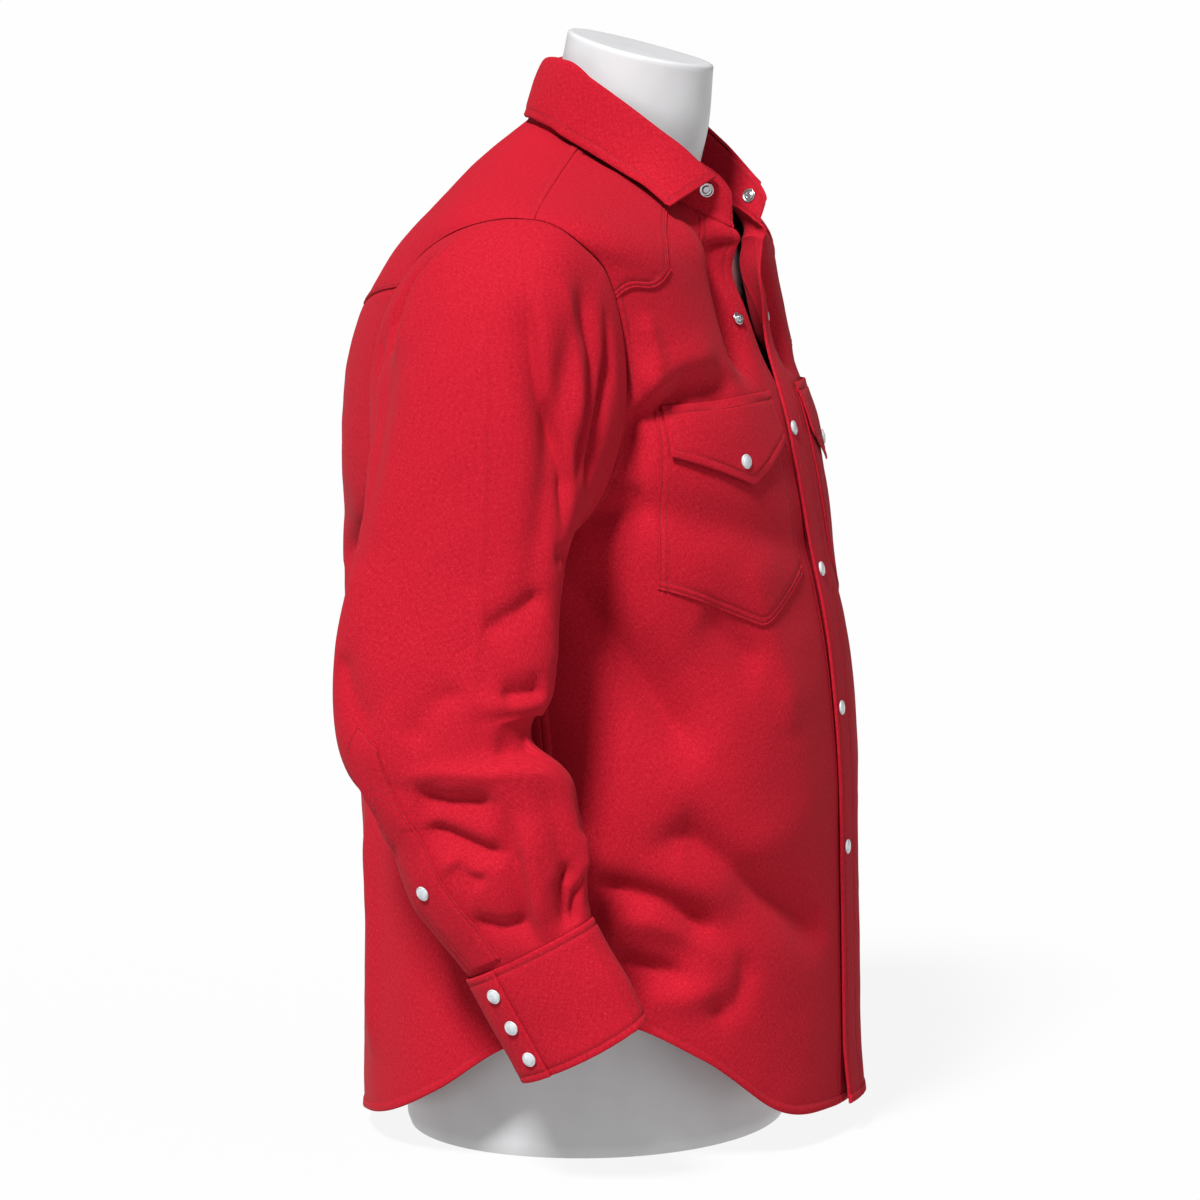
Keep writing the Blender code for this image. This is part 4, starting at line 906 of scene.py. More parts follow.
def yoke_piece(side, word, material):
    down = shares(0.150, detail(EDGE_STITCH, TOPSTITCH), detail(), 26)
    across = shares(0.115, detail(EDGE_STITCH, TOPSTITCH), detail(), 26)
    steps = np.array([7, 8, 9, 10, 11, 12, 13, 14], float)
    index = down * (len(steps) - 1)
    arm = V_ARMHOLE_MIDDLE - 2 * np.cos(math.pi * np.clip(7 + index, 7, 12) / ARMHOLE_STEPS)
    outer_v = np.where(index <= 5, arm, np.interp(index, [5, 6, 7], [9.0, 10.0, 10.8]))
    inner_row = between(YOKE_INNER, down * (len(YOKE_INNER) - 1))
    v = inner_row[:, :1] * (1 - across) + outer_v[:, None] * across
    rise = (1 - down)[:, None] ** 2
    bow = YOKE_BOTTOM_BOW * np.sin(2 * math.pi * across) + YOKE_BOTTOM_SAG * np.sin(math.pi * across)
    v = v - bow * rise
    angle = np.radians(inner_row[:, 1:]) * (1 - across) + side_angle(outer_v)[:, None] * across

    def points_at(out):
        return mirrored(body(angle, v, side, out + WALL + LAID_OFF), side)

    edge = ((EDGE_STITCH, TOPSTITCH), 0.0, 0.0)
    sews = {"bottom": edge, "first": edge, "last": PLAIN, "top": PLAIN}
    inner, outer, _ = laid_grid(points_at, v.shape, sews, WALL)
    name = f"yoke_front_{word}"
    dress(f"cloth_{name}", name, inner, outer, material, (0.13, 0.15), "stretched",
          [f"front_{word}"], area=0.0135)


def patch_grid(side, top, corner, tip, inner, outer_top, outer_bottom, stitches, counts):
    across = shares(outer_top - inner, detail(*stitches), detail(*stitches), counts[0])
    up = shares(top - (corner + tip) / 2, detail(*stitches), detail(*stitches), counts[1])[:, None]
    peak = 1 - np.sqrt((2 * across - 1) ** 2 + 0.0004)
    lower = corner + (tip - corner) * peak
    z = lower + (top - lower) * up
    slope = (outer_top - outer_bottom) / (POCKET_TOP - POCKET_SIDE_BOTTOM)
    outer = outer_bottom + slope * (z - POCKET_SIDE_BOTTOM)
    x = inner + (outer - inner) * across
    angle, v = front_v(x, z)
    return angle, v, lap_lift(x, z, side), up


def pocket_piece(side, word, material):
    rows = (EDGE_STITCH, TOPSTITCH + 0.0012)
    angle, v, lap, _ = patch_grid(side, POCKET_TOP - POCKET_UNDER_FLAP, POCKET_SIDE_BOTTOM, POCKET_TIP,
                                  POCKET_INNER, POCKET_OUTER_TOP, POCKET_OUTER_BOTTOM, rows, (24, 26))

    def points_at(out):
        return mirrored(body(angle, v, side, lap + out + WALL + LAID_OFF), side)

    edge = (rows, 0.0, 0.0)
    sews = {"bottom": edge, "first": edge, "last": edge, "top": PLAIN}
    inner, outer, _ = laid_grid(points_at, v.shape, sews, WALL)
    dress(f"cloth_pocket_{word}", f"pocket_{word}", inner, outer, material, (0.15, 0.18), "stretched",
          [f"front_{word}"], area=0.025)


def flap_piece(side, word, material):
    rows = (TOPSTITCH + 0.0012,)
    angle, v, lap, up = patch_grid(side, POCKET_TOP, FLAP_SIDE_BOTTOM, FLAP_TIP,
                                   POCKET_INNER - FLAP_OVERHANG, POCKET_OUTER_TOP - FLAP_TOP_IN,
                                   POCKET_OUTER_BOTTOM - FLAP_BOTTOM_IN,
                                   rows, (26, 14))
    lift = lap + 2 * WALL + 2 * LAID_OFF + FLAP_SWING * (1 - up) ** 1.5

    def points_at(out):
        return mirrored(body(angle, v, side, lift + out), side)

    edge = (rows, 0.0, 0.0)
    sews = {"bottom": edge, "first": edge, "last": edge, "top": edge}
    inner, outer, _ = laid_grid(points_at, v.shape, sews, WALL)
    dress(f"cloth_flap_{word}", f"flap_{word}", inner, outer, material, (0.15, 0.07), "hung",
          [f"pocket_{word}"], area=0.0085)


# ---- sleeves ----
CAP_METRES = 0.27
ROW_METRES = 0.058
END_REACH = 0.0045  # how far the sleeve's end reaches into the cuff, and how far it sinks in
END_SINK = 0.0036
TUCK = 0.0015  # how far the sleeve dips under the body's edge at the armhole


def arm_frames(s):
    row = between(ARM_ROWS, s)
    ahead = between(ARM_ROWS, s + 0.05)[..., :3] - between(ARM_ROWS, s - 0.05)[..., :3]
    along = unit(ahead)
    forward = unit(np.array([0.0, -1.0, 0.0]) - along * -along[..., 1:2])
    outward = unit(np.cross(along, forward))
    return row, along, forward, outward


def arm_ring(theta, s):
    row, _, forward, outward = arm_frames(np.asarray(s, float))
    depth = row[..., 3, None] * np.sin(theta)[..., None]
    thick = row[..., 4, None] * np.cos(theta)[..., None]
    return row[..., :3] + forward * depth + outward * thick


def armhole_loop(theta):
    v = V_ARMHOLE_MIDDLE + 2 * np.cos(theta)
    angle = np.where(np.sin(theta) >= 0, side_angle(v), side_angle(v, True))
    return plain_body(angle, v) + normals(plain_body, angle, v) * 0.0026


def sleeve_surface(theta, s):
    theta, s = np.broadcast_arrays(np.asarray(theta, float), np.asarray(s, float))
    start = armhole_loop(theta)
    end = arm_ring(theta, np.zeros(theta.shape))
    leave = unit(arm_ring(theta, np.full(theta.shape, 0.1)) - end)
    high = ((1 + np.cos(theta)) / 2)[..., None]
    begin = high * np.array([-0.93, 0.0, -0.36]) + (1 - high) * np.array([-0.50, 0.0, -0.86])
    length = np.linalg.norm(end - start, axis=-1, keepdims=True)
    t = np.clip(s, 0, 1)[..., None]
    hermite = (2 * t**3 - 3 * t**2 + 1) * start + (t**3 - 2 * t**2 + t) * begin * length
    hermite = hermite + (3 * t**2 - 2 * t**3) * end + (t**3 - t**2) * leave * length
    lower = arm_ring(theta, np.clip(s - 1, 0, len(ARM_ROWS) - 1))
    return np.where(s[..., None] < 1, hermite, lower)


def down_arm(s):
    s = np.asarray(s, float)
    return np.where(s < 1, CAP_METRES * s, CAP_METRES + ROW_METRES * (s - 1))


def sleeve_relief(theta, s):
    total = np.zeros(theta.shape)
    for degrees, row, half_degrees, half_row, slant, height in SLEEVE_FOLDS:
        turn = (np.degrees(theta) - degrees + 180) % 360 - 180
        across = turn / half_degrees
        along = (s - row - slant * across) / half_row
        total = total + height * np.exp(-(across**2) - along**2)
    total = total * smooth(s / 0.25) * smooth((SLEEVE_END - s) / 0.25)
    fine = np.zeros(theta.shape)
    y = down_arm(s)
    for path, before, past, height in SLEEVE_CREASES:
        turns = np.unwrap([math.radians(a) for a, _ in path])
        metres = [(turn * ARM_ROUND, float(down_arm(at))) for turn, at in zip(turns, (b for _, b in path))]
        middle = (turns.min() + turns.max()) / 2
        near = (theta - middle + math.pi) % (2 * math.pi) - math.pi + middle
        fine = fine + CREASE_GAIN * crease(near * ARM_ROUND, y, metres, before, past, height)
    for degrees, row, half_degrees, half_row, height in SLEEVE_DENTS:
        turn = (np.degrees(theta) - degrees + 180) % 360 - 180
        fine = fine + height * np.exp(-((turn / half_degrees) ** 2) - ((s - row) / half_row) ** 2)
    place = np.stack([np.cos(theta) * 0.06, np.sin(theta) * 0.09, y], -1)
    fine = fine + 0.0008 * wavy(place, 0.070, 5) + 0.0003 * wavy(place, 0.026, 6)
    return total + fine * smooth(s / 0.05) * smooth((SLEEVE_END - s) / 0.10)


def sleeve_normals(theta, s):
    step = 1e-3
    around = sleeve_surface(theta + step, s) - sleeve_surface(theta - step, s)
    high, low = np.clip(s + step, 0, SLEEVE_END), np.clip(s - step, 0, SLEEVE_END)
    down = sleeve_surface(theta, high) - sleeve_surface(theta, low)
    return unit(np.cross(down, around))


def sleeve_points(theta, s, out):
    surface = sleeve_surface(theta, s)
    return surface + sleeve_normals(theta, s) * (sleeve_relief(theta, s) + out)[..., None]


def sleeve_piece(side, word, material):
    columns = 150
    theta = np.radians(np.arange(columns) * 360 / columns)
    near = np.array([0, 0.003, 0.007, 0.012, 0.020, 0.032])
    far = np.array([0.10, 0.05, 0.02, 0.0, 0.0])
    s = np.concatenate([near, np.linspace(0.045, 1, 72)[:-1], np.linspace(1, SLEEVE_END - 0.14, 108),
                        SLEEVE_END - far])
    theta, s = np.meshgrid(theta, s)
    tuck = -TUCK * np.exp(-((s / 0.010) ** 2))
    hug = -0.0008 * np.exp(-(((SLEEVE_END - s) / 0.05) ** 2))
    seam = 0.0008 * smooth((0.006 - np.abs(theta - math.pi) * ARM_ROUND) / 0.002)
    off = tuck + hug + seam
    skins = [mirrored(sleeve_points(theta, s, off + out), side) for out in (-WALL / 2, WALL / 2)]
    # the end reaches on under the cuff
    for skin in skins:
        out = unit(skins[1][-1] - skins[0][-1])
        skin[-1] = skin[-1] + unit(skin[-1] - skin[-4]) * END_REACH - out * END_SINK
    inner, outer = skins
    line = int(columns / 2)
    outward = outer - inner
    for shift in (-1, 1):
        note_stitches(outer[:, line + 2 * shift], outward[:, line + 2 * shift])
    dress(f"cloth_sleeve_{word}", f"sleeve_{word}", inner, outer, material, (0.44, 0.56), "hung",
          ["form"], tube=True, area=0.215)


# columns: s, first and last degrees
GAUNTLET_ROWS = ((2.95, 305, 332), (3.70, 300, 329), (4.44, 302, 333), (5.18, 307, 341), (5.93, 312, 346))
GAUNTLET_POINT = 0.20


def gauntlet_piece(side, word, material):
    stitches = (EDGE_STITCH,)
    across = shares(0.036, detail(*stitches), detail(*stitches), 10)
    down = shares(0.165, detail(*stitches), detail(), 60)[:, None]
    peak = GAUNTLET_POINT * (1 - np.sqrt((2 * across - 1) ** 2 + 0.0004))
    top, bottom = GAUNTLET_ROWS[0][0], GAUNTLET_ROWS[-1][0]
    s = top - peak + (bottom - top + peak) * down
    down_it = (np.clip(s, top, bottom) - top) / (bottom - top)
    row = between(GAUNTLET_ROWS, down_it * (len(GAUNTLET_ROWS) - 1))
    theta = np.radians(row[..., 1] * (1 - across) + row[..., 2] * across)

    def points_at(out):
        return mirrored(sleeve_points(theta, s, out + WALL / 2 + LAID_OFF), side)

    edge = (stitches, 0.0, 0.0)
    sews = {"bottom": edge, "first": edge, "last": edge, "top": PLAIN}
    inner, outer, places = laid_grid(points_at, s.shape, sews, WALL)
    outward = outer - inner
    for at in (0.048, 0.054):
        row_index = int(np.argmin(np.abs(places["bottom"][:, len(across) // 2] - at)))
        note_stitches(outer[row_index], outward[row_index])
    dress(f"cloth_sleeve_placket_{word}", f"sleeve_placket_{word}", inner, outer, material, (0.036, 0.175),
          "stretched", [f"sleeve_{word}"])


def cuff_point(theta, part, out):
    row, along, forward, outward = arm_frames(np.array(float(CUFF_ROW)))
    top = row[:3] + along * CUFF_SEAM
    away = unit(np.stack([np.sin(theta) / CUFF_HALF_DEPTH, np.cos(theta) / CUFF_HALF_THICKNESS], -1))
    depth = CUFF_HALF_DEPTH * np.sin(theta) + away[..., 0] * out
    thick = CUFF_HALF_THICKNESS * np.cos(theta) + away[..., 1] * out
    length = (CUFF_LENGTH + CUFF_FALL * np.maximum(np.cos(theta), 0)) * part
    centre = top + along * length[..., None]
    return centre + forward * depth[..., None] + outward * thick[..., None]


CUFF_ROUND = 0.290


def cuff_piece(side, word, material):
    stitches = (TOPSTITCH,)
    turn = shares(CUFF_ROUND, detail(*stitches), detail(*stitches), 110) * (360 + CUFF_LAP)
    part = shares(CUFF_LENGTH, detail(*stitches), detail(*stitches), 22)
    theta = np.radians(CUFF_START + turn)
    over = smooth((turn - 360 + 45) / 40) * (DOUBLE_WALL + 0.0010)
    theta, part = np.meshgrid(theta, part)
    over = np.broadcast_to(over, theta.shape)
    rough_place = np.stack([np.cos(theta) * 0.03, np.sin(theta) * 0.06, part * CUFF_LENGTH], -1)
    bend = 0.0009 * wavy(rough_place, 0.05, 9)
    step = 0.0013 * np.exp(-(((np.degrees(theta) % 360 - 64) / 5) ** 2))

    def points_at(out):
        return mirrored(cuff_point(theta, part, over + bend + step + out - DOUBLE_WALL / 2), side)

    edge = (stitches, 0.0, 0.0)
    sews = {"bottom": edge, "first": edge, "last": edge, "top": edge}
    inner, outer, _ = laid_grid(points_at, theta.shape, sews, DOUBLE_WALL)
    dress(f"cloth_cuff_{word}", f"cuff_{word}", inner, outer, material, (0.29, 0.09), "stretched",
          [f"sleeve_{word}"])


# ---- collar ----
def neckline(part, side):
    v = np.full(part.shape, V_NECK)
    start = edge_angle(np.array([V_NECK]), side)[0]
    angle = start + (math.pi - start) * part
    outward = normals(plain_body, angle, v) * np.array([1, 1, 0])
    return plain_body(angle, v), unit(outward)


def stand_top(part, side):
    base, outward = neckline(part, side)
    shape = between(COLLAR_ROWS, part * (len(COLLAR_ROWS) - 1))
    top = base - outward * shape[..., :1]
    top = top + np.array([0.0, -1.0, 0.0]) * shape[..., 1:2] + np.array([0.0, 0.0, 1.0]) * shape[..., 2:3]
    if side > 0:
        fallen = smooth(1 - part / LEFT_REACH)[..., None]
        top = top + fallen * np.array([-0.8 * LEFT_FLARE, -0.6 * LEFT_FLARE, -LEFT_DROP])
    return base, outward, top, shape


def round_neck(make, stations):
    right = mirrored(make(stations, -1), -1)
    left = mirrored(make(stations, 1), 1)
    right[:, -1, 0] = 0
    return np.concatenate([right, left[:, -2::-1]], 1)


COLLAR_HALF = 0.215
STAND_LAP = 0.12  # how far its seam reaches down over the panels' edges, in heights
STAND_CORNER = 0.016  # rounding of the stand's upper front corners


def collar_stand_piece(material):
    stations = shares(COLLAR_HALF, detail(EDGE_STITCH), [], 70)
    heights = shares(0.040, detail(), detail(EDGE_STITCH), 12) * (1 + STAND_LAP) - STAND_LAP

    def place(out):
        def make(part, side):
            base, outward, top, _ = stand_top(part, side)
            base = base + (top - base) * STAND_OFF / 0.04
            near = np.clip(1 - part * COLLAR_HALF / STAND_CORNER, 0, 1)
            cut = 0.38 * (1 - np.sqrt(1 - near**2))
            if side > 0:
                cut = cut * 0.9
            use = out[:, : len(part)] if side < 0 else out[:, ::-1][:, : len(part)]
            lap = 0.0019 * smooth(1 - heights / 0.10)
            rows = [base + (top - base) * (h * (1 - cut))[..., None] + outward * (o + over)[:, None]
                    for h, o, over in zip(heights, use, lap)]
            return np.stack(rows)
        return round_neck(make, stations)

    shape = (len(heights), 2 * len(stations) - 1)
    edge = ((EDGE_STITCH,), 0.0, 0.0)
    sews = {"first": edge, "last": edge, "top": edge, "bottom": PLAIN}
    inner, outer, places = laid_grid(place, shape, sews, DOUBLE_WALL)
    sew(inner, places, outer, {"top": edge, "first": edge, "last": edge})
    dress("cloth_collar_stand", "collar_stand", inner, outer, material, (0.44, 0.04), "stretched", ["form"])


# columns: share of the leaf's fall, and its height over the straight line
LEAF_ACROSS = ((0.0, 0.0), (0.12, 0.0060), (0.40, 0.0062), (0.70, 0.0035), (1.0, 0.0))


def collar_leaf_piece(material):
    stations = LEAF_START + (1 - LEAF_START) * shares(COLLAR_HALF, detail(TOPSTITCH), [], 70)
    across = shares(0.060, [0.0, 0.001, 0.002, 0.0035, 0.005, 0.007], detail(TOPSTITCH), 14)
    shares_in = np.array(LEAF_ACROSS)
    at = np.interp(across, np.linspace(0, 1, 5), np.arange(5))
    profile = between(shares_in, at)

    def place(out):
        def make(part, side):
            _, outward, top, _ = stand_top(part, side)
            shape = between(COLLAR_ROWS, (part - LEAF_START) / (1 - LEAF_START) * (len(COLLAR_ROWS) - 1))
            drop = shape[..., 5] - (LEFT_DROP * smooth(1 - part / LEFT_REACH) if side > 0 else 0)
            fall = np.stack([-shape[..., 3], shape[..., 4], -drop], -1)
            lift = unit(outward + np.array([0.0, 0.0, 0.9]))
            sunk = smooth(1 - (part - LEAF_START) / LEAF_SINK_REACH)[..., None]
            start = top + outward * (DOUBLE_WALL * 0.5 + LEAF_SINK_OUT * sunk)
            start = start + np.array([0.0, 0.0, 1.0]) * (LEAF_OFF - LEAF_SINK * sunk)
            use = out[:, : len(part)] if side < 0 else out[:, ::-1][:, : len(part)]
            roll = LEAF_FRONT_ROLL + (1 - LEAF_FRONT_ROLL) * smooth(part / LEAF_ROLL_REACH)[..., None]
            rows = [start + fall * f + lift * (up * roll + o[:, None]) for (f, up), o in zip(profile, use)]
            return np.stack(rows)
        return round_neck(make, stations)

    shape = (len(across), 2 * len(stations) - 1)
    edge = ((TOPSTITCH,), 0.0, 0.0)
    sews = {"first": edge, "last": edge, "top": edge, "bottom": PLAIN}
    inner, outer, _ = laid_grid(place, shape, sews, DOUBLE_WALL)
    dress("cloth_collar_leaf", "collar_leaf", inner, outer, material, (0.44, 0.06), "folded",
          ["collar_stand"])


# ---- form ----
CAP_ROUNDING = 0.004  # of the edge of the neck's flat top
CAP_RADIUS = 0.056


def form_piece(material):
    columns, rows = 128, 150
    angle = np.linspace(0, 2 * math.pi, columns, endpoint=False)
    last = len(FORM_ROWS) - 1
    folded = np.where(angle > math.pi, 2 * math.pi - angle, angle)
    turn, v = np.meshgrid(folded, np.concatenate([[0, 0.5, 1], np.linspace(1, last, rows)[1:]]))
    points = torso(FORM_ROWS, turn, v)
    points[:, angle > math.pi, 0] *= -1
    cap = points[-1]
    centre = cap.mean(0)
    rings = [points]
    for part in (0.35, 0.65, 0.85, 0.96, 1.0):
        rise = CAP_ROUNDING * 0.6 * math.sin(part * math.pi / 2)
        shrink = 1 - CAP_ROUNDING / CAP_RADIUS * (1 - math.cos(part * math.pi / 2))
        rings.append((centre + (cap - centre) * shrink + np.array([0, 0, rise]))[None])
    points = np.concatenate(rings)
    count = len(points)
    r, c = np.meshgrid(np.arange(count - 1), np.arange(columns), indexing="ij")
    nxt = (c + 1) % columns
    low, high = r * columns, (r + 1) * columns
    quads = np.stack([low + c, low + nxt, high + nxt, high + c], -1)
    faces = quads.reshape(-1, 4).tolist()
    faces.append(list(range(columns))[::-1])
    faces.append([(count - 1) * columns + k for k in range(columns)])
    mesh = new_mesh("smooth_form", points.reshape(-1, 3).tolist(), faces, material)
    side = mesh.polygons[columns * 40 + 5]
    if side.normal.dot(side.center - Vector((0, 0, side.center.z))) < 0:
        mesh.flip_normals()
    shade(mesh, 50)
    stands_for(placed("smooth_form", mesh), "form")


# ---- snaps ----
# columns: radius height
CAP_FINE = (
    (0.0057, 0.0000), (0.0058, 0.0003), (0.0058, 0.0009), (0.0056, 0.0013), (0.0053, 0.0015),
    (0.0050, 0.0014), (0.0048, 0.0013), (0.0046, 0.0015), (0.0042, 0.0018), (0.0034, 0.0020),
    (0.0023, 0.0022), (0.0011, 0.0023), (0.0, 0.0023),
)
RING_FINE = (
    (0.0057, 0.0000), (0.0058, 0.0004), (0.0057, 0.0010), (0.0054, 0.0013), (0.0049, 0.0013),
    (0.0044, 0.0010), (0.0040, 0.0008), (0.0036, 0.0008), (0.0033, 0.0011), (0.0030, 0.0016),
    (0.0027, 0.0017), (0.0024, 0.0014), (0.0023, 0.0008), (0.0022, 0.0003), (0.0, 0.0003),
)
STUD_FINE = (
    (0.0051, 0.0000), (0.0052, 0.0004), (0.0050, 0.0009), (0.0045, 0.0011), (0.0036, 0.0010),
    (0.0028, 0.0011), (0.0022, 0.0015), (0.0021, 0.0026), (0.0023, 0.0031), (0.0022, 0.0037),
    (0.0015, 0.0040), (0.0, 0.0041),
)
SNAP_SIDES = 40


def turned(name, node, profile, material, place, axis):
    axis = Vector(axis).normalized()
    across = axis.orthogonal().normalized()
    up = axis.cross(across)
    points, faces = [], []
    for radius, height in profile[:-1]:
        for k in range(SNAP_SIDES):
            turn = 2 * math.pi * k / SNAP_SIDES
            spoke = across * math.cos(turn) + up * math.sin(turn)
            points.append(Vector(place) + spoke * radius + axis * height)
    for row in range(len(profile) - 2):
        for k in range(SNAP_SIDES):
            nxt = (k + 1) % SNAP_SIDES
            low, high = row * SNAP_SIDES, (row + 1) * SNAP_SIDES
            faces.append((low + k, low + nxt, high + nxt, high + k))
    top = len(points)
    points.append(Vector(place) + axis * profile[-1][1])
    last = (len(profile) - 2) * SNAP_SIDES
    for k in range(SNAP_SIDES):
        faces.append((last + k, last + (k + 1) % SNAP_SIDES, top))
    faces.append(tuple(range(SNAP_SIDES))[::-1])
    mesh = new_mesh(name, [tuple(p) for p in points], faces, material)
    shade(mesh, 50)
    stands_for(placed(name, mesh), node)


def solid_axis(node):
    """A turned CAD piece's middle and its axis, the shortest way through it."""
    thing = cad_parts[node]
    points = np.array([list(thing.matrix_world @ v.co) for v in thing.data.vertices])
    middle = (points.max(0) + points.min(0)) / 2
    _, _, axes = np.linalg.svd(points - points.mean(0), full_matrices=False)
    return middle, axes[-1]


SEAT_REACH = 0.0110  # how far a snap's cloth may lie from the middle of its CAD piece
SEAT_START = 1.2 * SEAT_REACH
SEAT_SPREAD = 0.0035  # how much farther the outermost layer may lie than the nearest one


def snap_pieces(pearl, metal, seats):
    for node in sorted(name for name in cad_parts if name.split("_")[0] in ("snap", "stud", "socket")):
        middle, axis = solid_axis(node)
        found = []
        for name in seats:
            thing = PIECES[name][0]
            for direction in (axis, -axis):
                start = Vector(middle + direction * SEAT_START)
                hit, place, normal, _ = thing.ray_cast(start, Vector(-direction))
                height = direction @ (np.array(place) - middle) if hit else 1.0
                if abs(height) < SEAT_REACH and direction @ np.array(normal) > 0.3:
                    found.append((abs(height), height, place, direction))
        # the sign of the axis comes from the side of the cloth on which the CAD piece stands, and the
        # piece sits on the outermost cloth of that side
        nearest, _, _, side_axis = min(found, key=lambda seat: seat[0])
        near = 2 * nearest + SEAT_SPREAD
        same_side = [seat for seat in found if seat[3] @ side_axis > 0 and seat[0] < near]
        _, _, place, direction = max(same_side, key=lambda seat: seat[1])
        profile, material, slot = CAP_FINE, pearl, "snap_pearl"
        if node == "stud_front":
            profile, material, slot = STUD_FINE, metal, "snap_metal"
        elif node.endswith("_collar") and not node.startswith("snap"):
            profile, material, slot = RING_FINE, metal, "snap_metal"
        turned(f"fine_{node}", node, profile, material, place, direction)


# ---- stitching ----
STITCH_RISE = 0.00032


def stitch_piece(material):
    """All rows of stitches as short lengths of thread in one mesh."""
    starts = np.concatenate([row[0] for row in STITCHES])
    ends = np.concatenate([row[1] for row in STITCHES])
    ups = np.concatenate([row[2] for row in STITCHES])
    along = unit(ends - starts)
    across = unit(np.cross(ups, along))
    half = across * STITCH_WIDTH / 2
    rise = ups * STITCH_RISE
    sink = ups * 0.0001
    corners = []
    for end, share in ((starts, 0.0), (starts + (ends - starts) * 0.5, 1.0), (ends, 0.0)):
        high = rise * (0.35 + 0.65 * share)
        corners += [end - half - sink, end - half * 0.6 + high, end + half * 0.6 + high, end + half - sink]
    points = np.stack(corners, 1)
    rings = [(0, 1, 5, 4), (1, 2, 6, 5), (2, 3, 7, 6), (3, 0, 4, 7)]
    faces = rings + [tuple(k + 4 for k in ring) for ring in rings] + [(3, 2, 1, 0), (8, 9, 10, 11)]
    base = np.arange(len(points))[:, None, None] * 12
    quads = (np.array(faces)[None] + base).reshape(-1, 4)
    mesh = new_mesh("stitching", points.reshape(-1, 3).tolist(), quads.tolist(), material)
    thing = placed("stitching", mesh)
    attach(thing, "root")
    print("stitches", len(points), "triangles", len(quads) * 2)


# ---- materials ----
def principled(name, **values):
    material = bpy.data.materials.new(name)
    material.use_nodes = True
    shader = material.node_tree.nodes["Principled BSDF"]
    for key, value in values.items():
        shader.inputs[key.replace("_", " ")].default_value = value
    return material, material.node_tree, shader


def node(tree, kind, **values):
    made = tree.nodes.new(kind)
    for key, value in values.items():
        if hasattr(made, key):
            setattr(made, key, value)
        else:
            made.inputs[key.replace("_", " ")].default_value = value
    return made


def color_ramp(tree, *stops):
    ramp = node(tree, "ShaderNodeValToRGB")
    for element, (position, color) in zip(ramp.color_ramp.elements, stops):
        element.position = position
        element.color = color
    return ramp


CLOTH_DARK = (0.250, 0.0012, 0.0075, 1)
CLOTH_MIDDLE = (0.345, 0.0034, 0.0135, 1)
CLOTH_LIGHT = (0.460, 0.0150, 0.0310, 1)


def cloth_material():
    """Fine cross-hatched twill with uneven threads, drawn in the cloth's own metres."""
    material, tree, shader = principled("red_cloth", Roughness=0.86)
    shader.inputs["Specular IOR Level"].default_value = 0.10
    shader.inputs["Sheen Weight"].default_value = 0.02
    shader.inputs["Sheen Roughness"].default_value = 0.55
    shader.inputs["Sheen Tint"].default_value = (1.0, 0.62, 0.64, 1)
    chart = node(tree, "ShaderNodeUVMap", uv_map="Cloth")
    links = tree.links
    threads = []
    for along, across, detail_level in ((300.0, 2800.0, 3.0), (2800.0, 300.0, 3.0)):
        turn = node(tree, "ShaderNodeMapping")
        turn.inputs["Scale"].default_value = (along, across, 1.0)
        links.new(chart.outputs["UV"], turn.inputs["Vector"])
        noise = node(tree, "ShaderNodeTexNoise", Scale=1.0, Detail=detail_level, Roughness=0.62)
        links.new(turn.outputs["Vector"], noise.inputs["Vector"])
        threads.append(noise.outputs["Fac"])
    both = node(tree, "ShaderNodeMath", operation="ADD")
    links.new(threads[0], both.inputs[0])
    links.new(threads[1], both.inputs[1])
    half = node(tree, "ShaderNodeMath", operation="MULTIPLY")
    half.inputs[1].default_value = 0.5
    links.new(both.outputs[0], half.inputs[0])
    ramp = color_ramp(tree, (0.39, CLOTH_DARK), (0.61, CLOTH_LIGHT))
    middle = ramp.color_ramp.elements.new(0.50)
    middle.color = CLOTH_MIDDLE
    links.new(half.outputs[0], ramp.inputs["Fac"])
    links.new(ramp.outputs["Color"], shader.inputs["Base Color"])
    bump = node(tree, "ShaderNodeBump")
    bump.inputs["Strength"].default_value = 0.35
    bump.inputs["Distance"].default_value = 0.0005
    links.new(half.outputs[0], bump.inputs["Height"])
    links.new(bump.outputs["Normal"], shader.inputs["Normal"])
    return material


def flecked(name, low, high, scale, **values):
    material, tree, shader = principled(name, **values)
    place = node(tree, "ShaderNodeTexCoord")
    noise = node(tree, "ShaderNodeTexNoise", Scale=scale, Detail=3.0, Roughness=0.5)
    ramp = color_ramp(tree, (0.35, low), (0.65, high))
    tree.links.new(place.outputs["Object"], noise.inputs["Vector"])
    tree.links.new(noise.outputs["Fac"], ramp.inputs["Fac"])
    tree.links.new(ramp.outputs["Color"], shader.inputs["Base Color"])
    return material


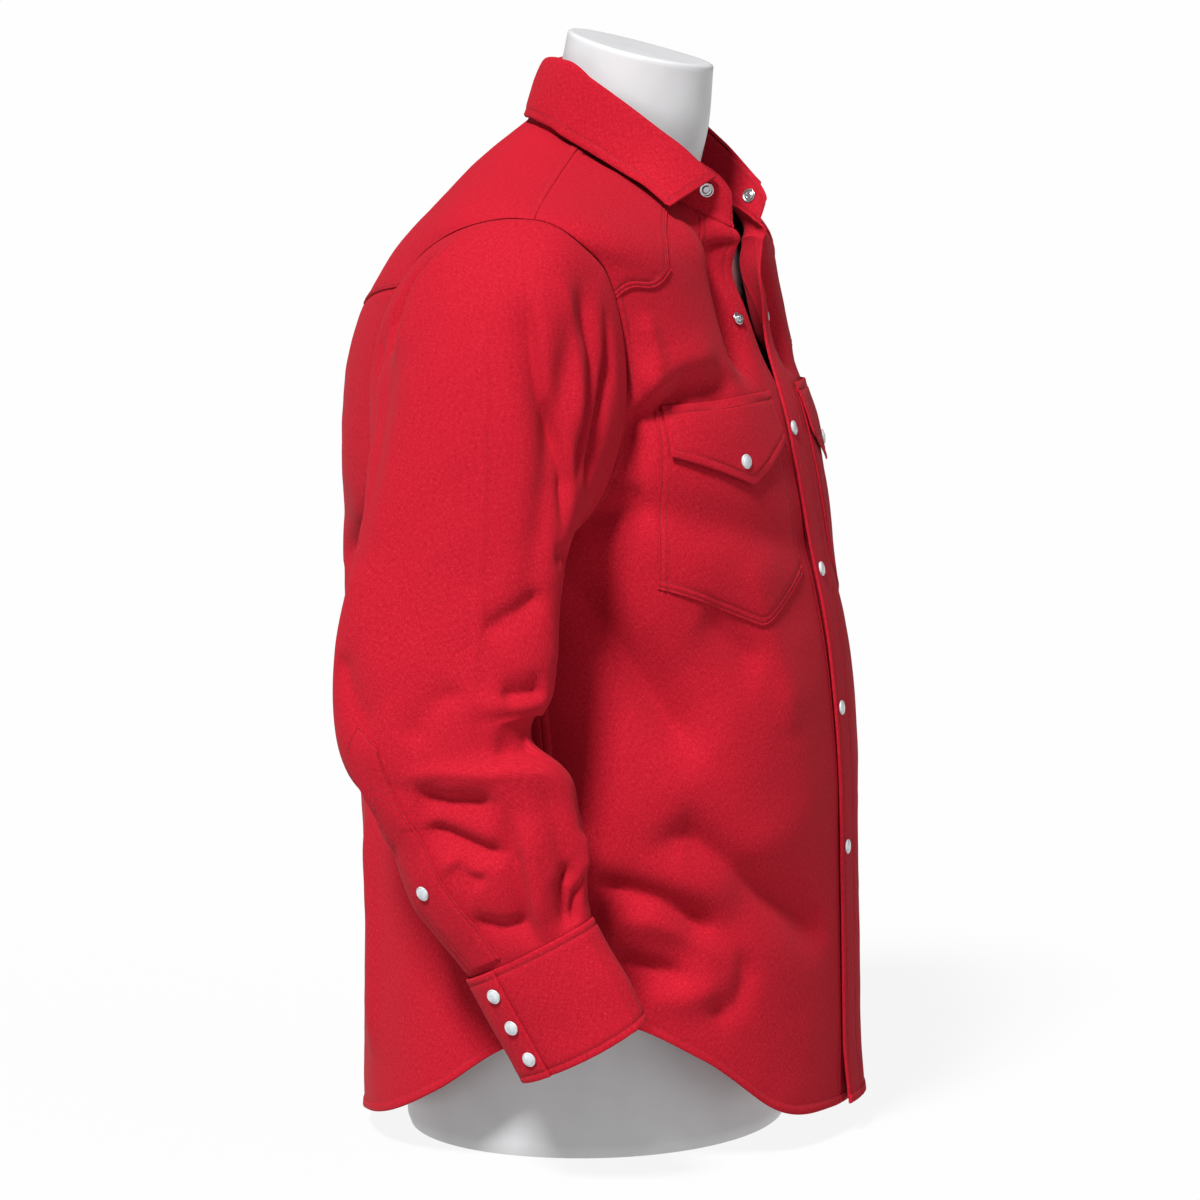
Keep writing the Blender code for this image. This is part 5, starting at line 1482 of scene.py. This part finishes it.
def build():
    cloth = cloth_material()
    form = flecked("white_form", (0.50, 0.50, 0.51, 1), (0.53, 0.53, 0.54, 1), 30.0, Roughness=0.42)
    pearl = flecked("pearl", (0.40, 0.43, 0.45, 1), (0.54, 0.57, 0.59, 1), 260.0, Roughness=0.16)
    shader = pearl.node_tree.nodes["Principled BSDF"]
    shader.inputs["Coat Weight"].default_value = 0.6
    shader.inputs["Coat Roughness"].default_value = 0.08
    metal = flecked("snap_steel", (0.55, 0.56, 0.58, 1), (0.66, 0.67, 0.69, 1), 400.0,
                    Roughness=0.28, Metallic=1.0)
    thread = flecked("thread", (0.15, 0.0015, 0.006, 1), (0.23, 0.003, 0.010, 1), 900.0, Roughness=0.75)
    form_piece(form)
    for side, word in ((-1, "right"), (1, "left")):
        front_piece(side, word, cloth)
        placket_piece(side, word, cloth)
        yoke_piece(side, word, cloth)
        pocket_piece(side, word, cloth)
        flap_piece(side, word, cloth)
        sleeve_piece(side, word, cloth)
        gauntlet_piece(side, word, cloth)
        cuff_piece(side, word, cloth)
    back_piece(cloth)
    back_yoke_piece(cloth)
    collar_stand_piece(cloth)
    collar_leaf_piece(cloth)
    bpy.context.view_layer.update()
    snap_pieces(pearl, metal, [name for name in PIECES if not name.startswith("cloth_front")])
    stitch_piece(thread)
    for name, (piece, flat, held, rests_on, measured, area) in PIECES.items():
        wanted = area or flat[0] * flat[1]
        print(f"{name} measured {measured:.4f} flat {wanted:.4f} ratio {measured / wanted:.2f}")


# ---- room ----
CAMERA_PLACE = (-4.232, -1.375, 0.98)
CAMERA_AIM = (0.0, 0.0, 0.418)
CAMERA_LENS = 167.25
CAMERA_SHIFT = 2 / 1200


WORLD_STRENGTH = 0.12
# columns: name, the direction it comes from, strength, apparent width in degrees
SUNS = (
    ("key", (-1.0, 0.17, 1.40), 6.2, 12.0),
    ("front_fill", (-0.30, -1.0, 0.60), 0.5, 50.0),
)
FLOOR_GLOW = 0.90
FLOOR_COLOR = 0.05
FLOOR_SIDES = 64
FLOOR_REACH = 90.0
FLOOR_DROP = -0.0006  # just under the form's base


def look_along(thing, direction):
    thing.rotation_mode = "QUATERNION"
    thing.rotation_quaternion = direction.to_track_quat("-Z", "Y")


def sun_light(name, place, strength, spread_degrees):
    data = bpy.data.lights.new(name, "SUN")
    data.energy = strength
    data.angle = math.radians(spread_degrees)
    look_along(placed(name, data), -Vector(place))


def room():
    turn = np.linspace(0, 2 * math.pi, FLOOR_SIDES, endpoint=False)
    rim = [(FLOOR_REACH * math.cos(t), FLOOR_REACH * math.sin(t), FLOOR_DROP) for t in turn]
    material, _, shader = principled("floor_white", Roughness=0.9)
    shader.inputs["Base Color"].default_value = (FLOOR_COLOR, FLOOR_COLOR, FLOOR_COLOR, 1)
    shader.inputs["Specular IOR Level"].default_value = 0.0
    shader.inputs["Emission Color"].default_value = (1, 1, 1, 1)
    shader.inputs["Emission Strength"].default_value = FLOOR_GLOW
    floor = placed("floor", new_mesh("floor", rim, [tuple(range(FLOOR_SIDES))], material))
    world = bpy.data.worlds.new("studio")
    world.use_nodes = True
    world.node_tree.nodes["Background"].inputs["Color"].default_value = (1, 1, 1, 1)
    world.node_tree.nodes["Background"].inputs["Strength"].default_value = WORLD_STRENGTH
    scene = bpy.context.scene
    scene.world = world
    scene.view_settings.view_transform = "Standard"
    for name, place, strength, spread_degrees in SUNS:
        sun_light(name, place, strength, spread_degrees)
    data = bpy.data.cameras.new("camera")
    data.sensor_width = 36.0
    data.lens = CAMERA_LENS
    data.shift_x = CAMERA_SHIFT
    data.clip_end = 500.0
    camera = placed("camera", data)
    camera.location = CAMERA_PLACE
    look_along(camera, Vector(CAMERA_AIM) - Vector(CAMERA_PLACE))
    scene.camera = camera


build()
room()
